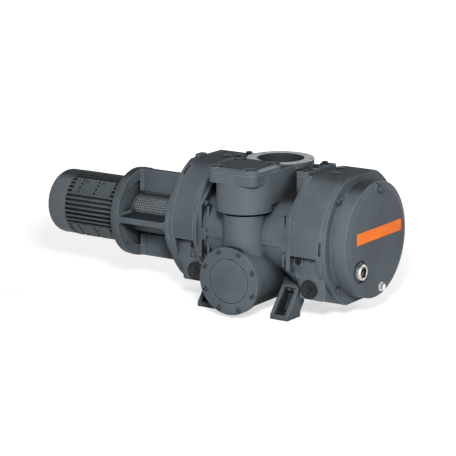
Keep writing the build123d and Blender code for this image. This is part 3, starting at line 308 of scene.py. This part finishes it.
sightWindow = {"haze": (30.0, 3.0, 0.5), "hazeRough": 0.08, "tint": (0.02, 0.022, 0.024),
               "cover": 0.3, "ior": 1.5}


def windowGlass():
    # thin clear glass: mostly see-through, with a glossy face
    shader = Shader("windowGlass")
    haze = shader.noise(*sightWindow["haze"])
    shader.set(Base_Color=sightWindow["tint"], Roughness=haze * sightWindow["hazeRough"],
               Alpha=sightWindow["cover"], IOR=sightWindow["ior"])
    return shader


inletFace = {"middle": 0.008, "radius": 0.1135, "depth": 0.0004, "bore": 0.0798, "boreAbove": 0.30,
             "turning": 260.0, "wobble": 0.6, "bareDark": (0.20, 0.215, 0.225),
             "bareLight": (0.26, 0.275, 0.285), "boreShade": (0.030, 0.033, 0.036),
             # boreShade: painted shade, a much darker tone inside the bore
             "metal": 0.3, "rough": 0.34, "recess": (0.20, 0.38, 0.78)}


def castingFinish():
    # the casing's paint, with bare machined metal on the inlet face and painted shade, a much darker
    # tone, in the bore
    shader = paint("casingPaint", finish["pumpPaint"], recess=inletFace["recess"])
    x, y, z = shader.axis("X"), shader.axis("Y"), shader.axis("Z")
    offset = y - inletFace["middle"]
    reach = (x * x + offset * offset) ** 0.5
    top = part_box("pump_casing")[1][2]
    face = (z > top - inletFace["depth"]) * (reach < inletFace["radius"])
    inside = (z > inletFace["boreAbove"]) * (reach < inletFace["bore"])
    turning = shader.node("ShaderNodeTexWave", {"wave_type": "RINGS", "rings_direction": "Z"},
                          {"Vector": shader.place, "Scale": inletFace["turning"],
                           "Distortion": inletFace["wobble"]}, out="Fac")
    bare = shader.mix(turning, inletFace["bareDark"], inletFace["bareLight"])
    tone = shader.mix(face, shader.fed("Base Color"), bare)
    # painted shade: the inside of the bore is made much darker
    tone = shader.mix(inside * (1.0 - face), tone, inletFace["boreShade"])
    shader.set(Base_Color=tone, Metallic=face * inletFace["metal"],
               Roughness=shader.fed("Roughness") * (1.0 - face) + face * inletFace["rough"])
    return shader


dress(pumpPaint, "gear_end_housing", "drive_end_housing", "front_foot_gear_end", "back_foot_gear_end",
      "front_foot_drive_end", "back_foot_drive_end", "valve_lid", "outlet_blank", "gear_cover",
      "coupling_lantern")
dress(castingFinish(), "pump_casing")
dress(motorPaint, "motor_end_shield", "motor_frame", "motor_rear_shield", "terminal_box",
      "terminal_lid")
dress(cowlLitPaint, "fan_cowl")
dress(darkSteel, "drive_shaft", "driven_shaft", "drive_timing_gear", "driven_timing_gear",
      "drive_gear_nut", "driven_gear_nut", "oil_splash_disc", "bearing_outer_rings", "bearing_rollers",
      "bearing_retainers", "drive_bearing_inner_rings", "driven_bearing_inner_rings", "motor_bearings",
      "motor_shaft", "motor_rotor", "motor_stator", "bypass_valve")
dress(plugFinish(), "oil_plugs")
dress(castIron, "drive_rotor", "driven_rotor")
dress(blackedSteel, "pump_coupling_hub", "motor_coupling_hub")
dress(blackPlastic, "socket_plugs", "top_plugs", "cable_gland", "motor_fan", "terminal_board")
dress(rubber, "chamber_shaft_seals", "input_shaft_seal", "coupling_spider")
dress(orangeStrip, "label_plate")
dress(oilTint, "sight_glass_oil")
dress(windowGlass(), "sight_glass_window")
print("finishes on the frame")


def gridFaces(rows, columns, wrapRows=False, wrapColumns=True):
    # quads between neighbouring points of a grid that is counted row by row
    row = np.arange(rows if wrapRows else rows - 1)[:, None]
    column = np.arange(columns if wrapColumns else columns - 1)[None, :]
    below, beside = (row + 1) % rows, (column + 1) % columns
    corners = (row * columns + column, row * columns + beside, below * columns + beside,
               below * columns + column)
    return np.stack(np.broadcast_arrays(*corners), -1).reshape(-1, 4)


def rings(stack, count=48, closed=False):
    # rings about +Z, each a radius and a height, either of which may change with the angle;
    # a zero radius at both ends closes the solid, and closed joins the last ring to the first
    angle = np.arange(count) / count * 2 * np.pi
    radius = np.stack([np.broadcast_to(r, count) for r, h in stack])
    height = np.stack([np.broadcast_to(h, count) for r, h in stack])
    points = np.stack([radius * np.cos(angle), radius * np.sin(angle), height], -1).reshape(-1, 3)
    return points, gridFaces(len(stack), count, closed)


def aimed(part, centre, axis):
    # turns +Z to a world axis given as (index, sign) and moves the part there
    points, faces = part
    index, sign = axis
    turned = np.roll(points, index + 1, axis=1)
    if sign < 0:
        turned[:, index] *= -1
        turned[:, (index + 1) % 3] *= -1
    return turned + np.array(centre), faces


def block(low, high):
    # a box from its two corners
    grid = np.array([(x, y, z) for x in (low[0], high[0]) for y in (low[1], high[1])
                     for z in (low[2], high[2])])
    return grid, np.array([(0, 1, 3, 2), (4, 6, 7, 5), (0, 4, 5, 1), (2, 3, 7, 6), (0, 2, 6, 4),
                           (1, 5, 7, 3)])


mergeReach = {"points": 1e-6, "edges": 1e-7}


def looseShape(name, parts):
    # joins the parts into one mesh with merged points and outward normals
    points = np.concatenate([part[0] for part in parts])
    starts = np.cumsum([0] + [len(part[0]) for part in parts[:-1]])
    faces = [tuple(face) for start, part in zip(starts, parts)
             for face in (part[1] + start).tolist()]
    mesh = bpy.data.meshes.new(name)
    mesh.from_pydata(points.tolist(), [], faces)
    work = bmesh.new()
    work.from_mesh(mesh)
    bmesh.ops.remove_doubles(work, verts=work.verts, dist=mergeReach["points"])
    bmesh.ops.dissolve_degenerate(work, edges=work.edges, dist=mergeReach["edges"])
    bmesh.ops.recalc_face_normals(work, faces=work.faces)
    work.to_mesh(mesh)
    work.free()
    shape = bpy.data.objects.new(name, mesh)
    bpy.context.collection.objects.link(shape)
    return shape


sharpFrom = 35.0  # degrees between two faces


def finishPiece(piece, shader, body="pump_body"):
    # smooth shading with sharp corners kept, its finish and the body it rides on
    piece.data.shade_smooth()
    piece.data.set_sharp_from_angle(angle=math.radians(sharpFrom))
    piece.data.materials.clear()
    piece.data.materials.append(shader.material)
    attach(piece, body)
    return piece


def makePiece(name, parts, shader):
    return finishPiece(looseShape(name, parts), shader)


def islands(node):
    # the separate solids of a node, each as its own array of points
    mesh = nodes[node].data
    places = np.empty(len(mesh.vertices) * 3)
    mesh.vertices.foreach_get("co", places)
    places, which = np.unique(places.reshape(-1, 3).round(6), axis=0, return_inverse=True)
    mesh.calc_loop_triangles()
    corners = np.empty(len(mesh.loop_triangles) * 3, dtype=int)
    mesh.loop_triangles.foreach_get("vertices", corners)
    triangles = which.ravel()[corners].reshape(-1, 3)
    label = np.arange(len(places))
    while True:
        lowest = label[triangles].min(axis=1)
        spread = label.copy()
        for side in range(3):
            np.minimum.at(spread, triangles[:, side], lowest)
        if (spread == label).all():
            return [places[label == one] for one in np.unique(label)]
        label = spread


def hexagon(across, count=48):
    # distance from the middle to a hexagon's edge at each angle; across is the half width over flats
    angle = np.arange(count) / count * 2 * np.pi
    return across / np.cos((angle % (np.pi / 3)) - np.pi / 6)


# shares of the head's radius, or of its height for the socket's depth
screwShape = {"chamfer": 0.10, "socketWidth": 0.50, "socketDepth": 0.60, "crown": 0.93,
              "mouth": 1.08, "point": 0.8, "pointLength": 0.2, "headFrom": 0.85, "margin": 0.001}
# each node's axis (0, 1 or 2 for X, Y or Z) and its kind of head
screwSets = {
    "housing_screws": (0, "hex"), "cover_screws": (0, "hex"), "lantern_screws": (0, "hex"),
    "motor_screws": (0, "hex"), "lid_screws": (2, "cap"), "outlet_screws": (1, "cap"),
}


def screwAlong(points, index, kind):
    # reads the axis, head and shank of a plain solid and returns the same screw in fine detail
    low, high = points.min(axis=0), points.max(axis=0)
    middle = (low + high) / 2
    across = np.delete(points - middle, index, axis=1)
    distance = np.hypot(across[:, 0], across[:, 1])
    wide = distance > screwShape["headFrom"] * distance.max()
    along = points[:, index] - middle[index]
    sign = 1.0 if along[wide].mean() > 0 else -1.0
    top, seat, tip = (along * sign).max(), (along[wide] * sign).min(), (along * sign).min()
    shank = distance[along * sign < seat - screwShape["margin"]].max()
    head, height = distance.max(), top - seat
    stack = [(0, tip), (shank * screwShape["point"], tip),
             (shank, tip + shank * screwShape["pointLength"]), (shank, seat)]
    if kind == "hex":
        outline = hexagon(head * math.cos(math.pi / 6))
        crown = head * math.cos(math.pi / 6) * screwShape["crown"]
        chamfer = (outline - crown) * math.tan(math.pi / 6)
        stack += [(outline, seat), (outline, top - chamfer), (crown, top)]
    else:
        edge = head * screwShape["chamfer"]
        socket = hexagon(head * screwShape["socketWidth"])
        depth = height * screwShape["socketDepth"]
        stack += [(head, seat), (head, top - edge), (head - edge, top),
                  (socket * screwShape["mouth"], top), (socket, top - edge / 2),
                  (socket, top - depth)]
    stack += [(0, stack[-1][1])]
    return aimed(rings(stack), middle, (index, sign))


def replaceScrews(node, index, kind):
    parts = [screwAlong(points, index, kind) for points in islands(node)]
    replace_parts(makePiece(node + "Fine", parts, screwPaint), node)


for node, (index, kind) in screwSets.items():
    replaceScrews(node, index, kind)
dress(screwPaint, "foot_screws")
print("screws cut")


guardSheet = {"pitch": 0.0086, "bar": 0.0034, "wall": 0.0012, "rim": 0.008, "rimProud": 0.0012,
              "rimDeep": 0.0016, "rimSides": 96, "stripHalf": 0.006, "stripDeep": 0.0005,
              "stripShort": 0.001, "webGap": 0.0085}


def perforatedTube(radius, start, end):
    # a thin tube with square holes: a grid of angle and length whose every second cell is open
    around = int(round(2 * np.pi * radius / guardSheet["pitch"]))
    along = int((end - start) / guardSheet["pitch"])
    share = guardSheet["bar"] / guardSheet["pitch"]
    bars = np.array([0, share])
    angle = (np.arange(around)[:, None] + bars).ravel() / around * 2 * np.pi
    steps = np.append((np.arange(along)[:, None] + bars).ravel(), along)
    x = start + (end - start) * steps / along
    shells = []
    for r in (radius, radius - guardSheet["wall"]):
        grid = np.stack(np.broadcast_arrays(x[None, :], r * np.cos(angle)[:, None],
                                            r * np.sin(angle)[:, None]), -1)
        shells.append(grid.reshape(-1, 3))
    rows, columns = len(angle), len(x)
    quads = gridFaces(rows, columns, True, False)
    row, column = np.divmod(np.arange(len(quads)), columns - 1)
    hole = (row % 2 == 1) & (column % 2 == 1)
    skin = quads[~hole]
    inner = rows * columns
    rims = quads[hole]
    walls = [np.stack([rims[:, a], rims[:, b], rims[:, b] + inner, rims[:, a] + inner], -1)
             for a, b in ((0, 1), (1, 2), (2, 3), (3, 0))]
    edge = np.arange(rows)
    for column in (0, columns - 1):
        first, second = edge * columns + column, (edge + 1) % rows * columns + column
        walls.append(np.stack([first, second, second + inner, first + inner], -1))
    return np.concatenate(shells), np.concatenate([skin, skin[:, ::-1] + inner] + walls)


def fineGuard():
    # the pierced tube between two plain rims, with four strips along it on the lantern's webs
    low, high = np.array(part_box("coupling_guard"))
    middle = (low + high) / 2
    radius = (high[2] - low[2]) / 2
    points, faces = perforatedTube(radius, low[0], high[0])
    parts = [(points + middle * (0, 1, 1), faces)]
    band, outside = guardSheet["rim"], radius + guardSheet["rimProud"]
    inside = radius - guardSheet["rimDeep"]
    for x in (low[0], high[0] - band):
        ring = rings([(inside, 0), (outside, 0), (outside, band), (inside, band)],
                     guardSheet["rimSides"], True)
        parts.append(aimed(ring, middle * (0, 1, 1) + (x, 0, 0), (0, 1)))
    foot, reach = radius - guardSheet["stripDeep"], radius + guardSheet["webGap"]
    short = guardSheet["stripShort"]
    for y, z in ((0, 1), (0, -1), (1, 0), (-1, 0)):
        near, far = np.array((y, z)) * foot, np.array((y, z)) * reach
        side = np.array((abs(z), abs(y))) * guardSheet["stripHalf"]
        corners = np.sort(np.stack([near, far]), axis=0) + np.stack([-side, side])
        parts.append(block((low[0] + short, *(middle[1:] + corners[0])),
                           (high[0] - short, *(middle[1:] + corners[1]))))
    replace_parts(makePiece("guardSheet", parts, guardPaint), "coupling_guard")


fineGuard()
print("guard pierced")


roundPlug = {"sides": 64, "neckIn": 0.003, "neckDepth": 0.006, "shoulder": 0.005, "bevel": 0.001,
             "rim": 0.0035, "groove": 0.0018, "slope": 0.0004, "dish": 0.0022, "dishSlope": 0.002}
# tip and diagonal are shares of the arm, mitre a share of its half width
plugArrow = {"arm": 0.017, "half": 0.0028, "rise": 0.0032, "sunk": 0.0004, "tip": 0.55,
             "diagonal": 0.7, "mitre": 1.414, "crownFrom": 0.8, "crown": 0.97}


def plugFace(radius, back, face):
    # a turned disc about +Z: chamfered rim, groove and shallow dish
    bevel, groove, slope = roundPlug["bevel"], roundPlug["groove"], roundPlug["slope"]
    neck, land = radius - roundPlug["neckIn"], radius - roundPlug["rim"]
    dish = face - roundPlug["dish"]
    stack = [(0, back), (neck, back), (neck, face - roundPlug["neckDepth"]),
             (radius, face - roundPlug["shoulder"]), (radius, face - bevel), (radius - bevel, face),
             (land, face), (land - slope, face - groove), (land - groove, face - groove),
             (land - groove - slope, face - slope),
             (land - 2 * groove - roundPlug["dishSlope"], dish), (0, dish)]
    return rings(stack, roundPlug["sides"])


def chevron(face):
    # two bars that meet in a point towards +X, raised from the dish
    arm, half, rise = plugArrow["arm"], plugArrow["half"], plugArrow["rise"]
    low = face - roundPlug["dish"] - plugArrow["sunk"]
    tip, inner, leg = arm * plugArrow["tip"], half * plugArrow["mitre"], arm * plugArrow["diagonal"]
    outline = np.array([(tip + inner, 0), (tip - leg, leg + inner),
                        (tip - leg - half, leg + inner - half), (tip - inner, 0),
                        (tip - leg - half, -leg - inner + half), (tip - leg, -leg - inner)])
    corners = len(outline)
    levels = ((1.0, low), (1.0, low + rise * plugArrow["crownFrom"]), (plugArrow["crown"], low + rise))
    points = np.concatenate([np.column_stack([outline * share, np.full(corners, height)])
                             for share, height in levels])
    caps = np.array([(0, 1, 2, 3), (0, 3, 4, 5)])
    walls = gridFaces(len(levels), corners)
    return points, np.concatenate([walls, caps, caps + corners * (len(levels) - 1)])


def finePlugs():
    # a turned plug in each place, with an arrow on it that points along the pump
    parts, arrows = [], []
    for points in islands("round_plugs"):
        low, high = points.min(axis=0), points.max(axis=0)
        middle = (low + high) / 2
        sign = 1.0 if middle[1] > 0 else -1.0
        radius = (high[0] - low[0]) / 2
        depth = (high[1] - low[1]) / 2
        parts.append(aimed(plugFace(radius, -depth, depth), middle, (1, sign)))
        bars = chevron(depth)
        arrows.append(aimed((bars[0][:, [1, 0, 2]], bars[1]), middle, (1, sign)))
    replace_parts(makePiece("chevronPlugs", parts, plugPlastic), "round_plugs")
    makePiece("plugArrows", arrows, rubber)


finePlugs()


sightRing = {"bore": 0.0188, "lip": 0.0015, "seat": 0.006, "step": 0.004, "wall": 0.003,
             "corner": 0.005, "cornerPoints": 6, "sunk": 0.001, "inside": 0.006, "sides": 72}
sightSeal = {"wall": 0.0012, "gap": 0.0001, "from": 0.009, "to": 0.0025}


def fineSightGlass():
    # a painted base ring, a turned bezel with a rounded face, and a dark seal against the glass
    low, high = np.array(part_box("sight_glass_ring"))
    middle = (low + high) / 2
    radius, length = (high[2] - low[2]) / 2, high[0] - low[0]
    lip, seat, bore, bend = (sightRing[key] for key in ("lip", "seat", "bore", "corner"))
    shoulder, back, inside = radius - sightRing["step"], bore + sightRing["wall"], sightRing["inside"]
    start = seat - sightRing["sunk"]
    corner = [(shoulder - bend + bend * math.cos(turn), length - bend + bend * math.sin(turn))
              for turn in np.linspace(0, np.pi / 2, sightRing["cornerPoints"])]
    base = [(back, 0), (radius - lip, 0), (radius, lip), (radius, seat - lip), (radius - lip, seat),
            (back, seat)]
    profile = [(back, start), (shoulder, start), (shoulder, seat + lip), *corner,
               (bore + lip, length), (bore, length - lip), (bore, length - inside),
               (back, length - inside)]
    outer, inner = bore - sightSeal["gap"], bore - sightSeal["wall"]
    behind, front = length - sightSeal["from"], length - sightSeal["to"]
    seal = [(inner, behind), (outer, behind), (outer, front), (inner, front)]
    base, bezel, seal = (
        [aimed(rings(stack, sightRing["sides"], True), (low[0], middle[1], middle[2]), (0, 1))]
        for stack in (base, profile, seal))
    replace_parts(makePiece("sightBezel", bezel, platedSteel), "sight_glass_ring")
    makePiece("sightBase", base, screwPaint)
    makePiece("sightSeal", seal, rubber)


fineSightGlass()
print("plugs and sight glass turned")


lidShape = {"slope": 0.009, "drop": 0.008, "bossRadius": 0.026, "bossIn": 0.0002, "bevel": 0.001,
            "pocket": 0.0238, "pocketDepth": 0.009, "flare": 0.0012, "hole": 0.0055,
            "boreDepth": 0.005, "overlap": 0.001, "plateFrom": 0.9, "sides": 64, "boreSides": 48}


def boolean(piece, other, operation):
    # applies one boolean to the piece's mesh and removes the other piece
    modifier = piece.modifiers.new(operation, "BOOLEAN")
    modifier.operation, modifier.object, modifier.solver = operation, other, "EXACT"
    shape = piece.evaluated_get(bpy.context.evaluated_depsgraph_get())
    result = bpy.data.meshes.new_from_object(shape)
    piece.modifiers.clear()
    piece.data = result
    bpy.data.objects.remove(other)


def roundedSquare(half, corner, count=64):
    # a square with round corners as one ring of points about its middle: each quarter of the
    # points goes round a circle whose centre is set in from the corner by its radius
    angle = (np.arange(count) + 0.5) / count * 2 * np.pi
    centre = np.stack([np.sign(np.cos(angle)), np.sign(np.sin(angle))], -1) * (half - corner)
    quarter = np.pi / 2
    stretch = 1 + 4 / (count - 4)
    spread = np.floor(angle / quarter) * quarter + (angle % quarter - quarter / count * 2) * stretch
    return centre + corner * np.stack([np.cos(spread), np.sin(spread)], -1)


def outlineStack(levels):
    # rings of one outline at several heights; each level is (points, height)
    points = np.concatenate([np.column_stack([ring, np.full(len(ring), height)])
                             for ring, height in levels])
    return points, gridFaces(len(levels), len(levels[0][0]))


def at(part, place):
    # a part moved to its place
    return part[0] + np.array(place), part[1]


def fineLid():
    # a plate whose straight edges slope between four corner bosses with deep screw pockets
    low, high = np.array(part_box("valve_lid"))
    middle = (low + high) / 2
    half = (high[0] - low[0]) / 2
    points = islands("valve_lid")[0]
    reach = np.hypot(points[:, 0] - middle[0], points[:, 1] - middle[1])
    guide = reach[points[:, 2] < low[2] + 1e-5]
    seat = points[reach > half * lidShape["plateFrom"]][:, 2].min()
    top, corner, slope = high[2], lidShape["bossRadius"], lidShape["slope"]
    sides, over, bevel = lidShape["sides"], lidShape["overlap"], lidShape["bevel"]
    edge, inset = roundedSquare(half, corner), roundedSquare(half - slope, corner)
    levels = [(edge * 0, seat), (edge, seat), (edge, top - lidShape["drop"]), (inset, top),
              (edge * 0, top)]
    centre = (*middle[:2], 0)
    lid = looseShape("lidPlate", [at(outlineStack(levels), centre)])
    tube = rings([(0, low[2]), (guide.max(), low[2]), (guide.max(), seat + over), (0, seat + over)],
                 sides)
    boolean(lid, looseShape("lidGuide", [at(tube, centre)]), "UNION")
    depth = seat + lidShape["boreDepth"]
    bore = rings([(0, low[2] - over), (guide.min(), low[2] - over), (guide.min(), depth), (0, depth)],
                 lidShape["boreSides"])
    boolean(lid, looseShape("lidBore", [at(bore, centre)]), "DIFFERENCE")
    boss, pocket = corner - lidShape["bossIn"], lidShape["pocket"]
    hole, floor = lidShape["hole"], top - lidShape["pocketDepth"]
    raised = rings([(0, seat), (boss, seat), (boss, top - bevel), (boss - bevel, top), (0, top)], sides)
    hollow = rings([(0, seat - over), (hole, seat - over), (hole, floor), (pocket, floor),
                    (pocket, top - bevel), (pocket + lidShape["flare"], top + lidShape["bossIn"]),
                    (0, top + over)], sides)
    for screw in islands("lid_screws"):
        spot = (*((screw.min(axis=0) + screw.max(axis=0)) / 2)[:2], 0)
        boolean(lid, looseShape("lidBoss", [at(raised, spot)]), "UNION")
        boolean(lid, looseShape("lidPocket", [at(hollow, spot)]), "DIFFERENCE")
    lid.name = "lidFine"
    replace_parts(finishPiece(lid, pumpPaint), "valve_lid")


fineLid()


deckCheek = {"x": (0.120, 0.165), "y": (0.062, 0.0892), "z": (0.404, 0.4545), "round": 0.0072,
             "cornerPoints": 8}


def fineDeckCheeks():
    # closes the spanner pockets under the four corners of the decks: a box with one round corner
    (x0, x1), (y0, y1), (z0, z1) = (deckCheek[key] for key in "xyz")
    turn, radius = np.linspace(np.pi, np.pi / 2, deckCheek["cornerPoints"]), deckCheek["round"]
    bend = np.stack([x0 + radius + radius * np.cos(turn), y1 - radius + radius * np.sin(turn)], -1)
    outline = np.concatenate([[(x0, y0)], bend, [(x1, y1), (x1, y0)]])
    middle = outline.mean(axis=0)
    levels = [(outline * 0 + middle, z0), (outline, z0), (outline, z1), (outline * 0 + middle, z1)]
    points, faces = outlineStack(levels)
    parts = [(points * (x, y, 1), faces) for x in (-1, 1) for y in (-1, 1)]
    makePiece("deckCheeks", parts, pumpPaint)


fineDeckCheeks()


driveRim = {"length": 0.0128, "wall": 0.012, "chamfer": 0.0015, "inset": 0.0001, "gap": 0.0002,
            "sides": 180}


def fillDriveRim():
    # carries the round of the drive end housing up to the casing flange:
    # a circle cut level at top and bottom
    low, high = np.array(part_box("drive_end_housing"))
    middle = (low + high) / 2
    sides = driveRim["sides"]
    angle = np.arange(sides) / sides * 2 * np.pi
    level = (high[2] - low[2]) / 2
    flat = level / np.maximum(np.abs(np.sin(angle)), 1e-6)
    radius = np.minimum(high[1], flat) - driveRim["inset"]
    inner, end, bevel = radius - driveRim["wall"], driveRim["length"], driveRim["chamfer"]
    profile = [(inner, 0), (radius, 0), (radius, end - bevel), (radius - bevel, end), (inner, end)]
    place = (high[0] - driveRim["length"] - driveRim["gap"], middle[1], middle[2])
    makePiece("driveRim", [aimed(rings(profile, sides, True), place, (0, 1))], pumpPaint)


fillDriveRim()
print("lid and rim made")


camera = {"at": (4.06219, -6.36278, 2.01466), "tilt": 90 - 13.19, "turn": 33.85, "lens": 183.05,
          "sensor": 36.0, "sight": 100.0}
studio = {
    "floorSize": 40.0,
    "floorColour": (0.62, 0.62, 0.62),
    "glowNear": 0.66,
    "glowFar": 0.95,
    "glowReach": (1.1, 2.8),  # from near to far, in metres from the middle
    "worldForLight": 0.09,
    # each lamp's place, width and power
    "lamps": [
        ("keyLamp", (1.75, -2.75, 1.85), 0.6, 140.0),
        ("leftLamp", (-4.4, -5.0, 1.5), 2.4, 24.0),
        ("backLamp", (0.6, 5.6, 3.4), 2.4, 200.0),
    ],
    "aim": (-0.1, 0.0, 0.25),
}


def setCamera():
    lens = bpy.data.cameras.new("camera")
    eye = bpy.data.objects.new("camera", lens)
    bpy.context.collection.objects.link(eye)
    eye.location = camera["at"]
    eye.rotation_euler = (math.radians(camera["tilt"]), 0.0, math.radians(camera["turn"]))
    lens.lens = camera["lens"]
    lens.sensor_width = camera["sensor"]
    lens.clip_end = camera["sight"]
    bpy.context.scene.camera = eye


def setLamps():
    # square lamps that all look at one point
    aim = np.array(studio["aim"])
    for name, place, size, power in studio["lamps"]:
        lamp = bpy.data.lights.new(name, "AREA")
        lamp.size, lamp.energy = size, power
        holder = bpy.data.objects.new(name, lamp)
        bpy.context.collection.objects.link(holder)
        holder.location = place
        x, y, z = aim - np.array(place)
        holder.rotation_euler = (math.atan2(math.hypot(x, y), -z), 0.0, math.atan2(-x, y))


def setFloor():
    # a big level sheet: it takes the shadow and glows white where it is seen or mirrored
    half = studio["floorSize"] / 2
    mesh = bpy.data.meshes.new("floor")
    mesh.from_pydata([(-half, -half, 0), (half, -half, 0), (half, half, 0), (-half, half, 0)], [],
                     [(0, 1, 2, 3)])
    floor = bpy.data.objects.new("floor", mesh)
    bpy.context.collection.objects.link(floor)
    shader = Shader("floor")
    seen = shader.node("ShaderNodeLightPath", out="Is Camera Ray")
    mirrored = shader.node("ShaderNodeLightPath", out="Is Glossy Ray")
    x, y = shader.axis("X"), shader.axis("Y")
    far = ((x * x + y * y) ** 0.5).ramp(*studio["glowReach"])
    level = far * (studio["glowFar"] - studio["glowNear"]) + studio["glowNear"]
    glow = shader.node("ShaderNodeEmission", {},
                       {"Color": (1.0, 1.0, 1.0), "Strength": (seen + mirrored) * level})
    matt = shader.node("ShaderNodeBsdfDiffuse", {}, {"Color": studio["floorColour"]})
    both = shader.node("ShaderNodeAddShader", {}, {0: matt, 1: glow})
    shader.link(both, shader.tree.nodes["Material Output"].inputs["Surface"])
    mesh.materials.append(shader.material)


def setWorld():
    # white where it is seen, mirrored or seen through glass, dim where it lights the pump
    world = bpy.data.worlds.new("studio")
    bpy.context.scene.world = world
    world.use_nodes = True
    sky = NodeTree(world.node_tree)
    seen, mirrored, through = (sky.node("ShaderNodeLightPath", out=ray) for ray in
                               ("Is Camera Ray", "Is Glossy Ray", "Is Transmission Ray"))
    white = seen.calc("MAXIMUM", mirrored.calc("MAXIMUM", through))
    level = sky.node("ShaderNodeMapRange", {}, {"Value": white, "To Min": studio["worldForLight"]})
    background = sky.tree.nodes["Background"]
    sky.link(level, background.inputs["Strength"])
    sky.link((1.0, 1.0, 1.0), background.inputs["Color"])


setCamera()
setLamps()
setFloor()
setWorld()
bpy.context.scene.view_settings.view_transform = "Standard"
print("studio ready")
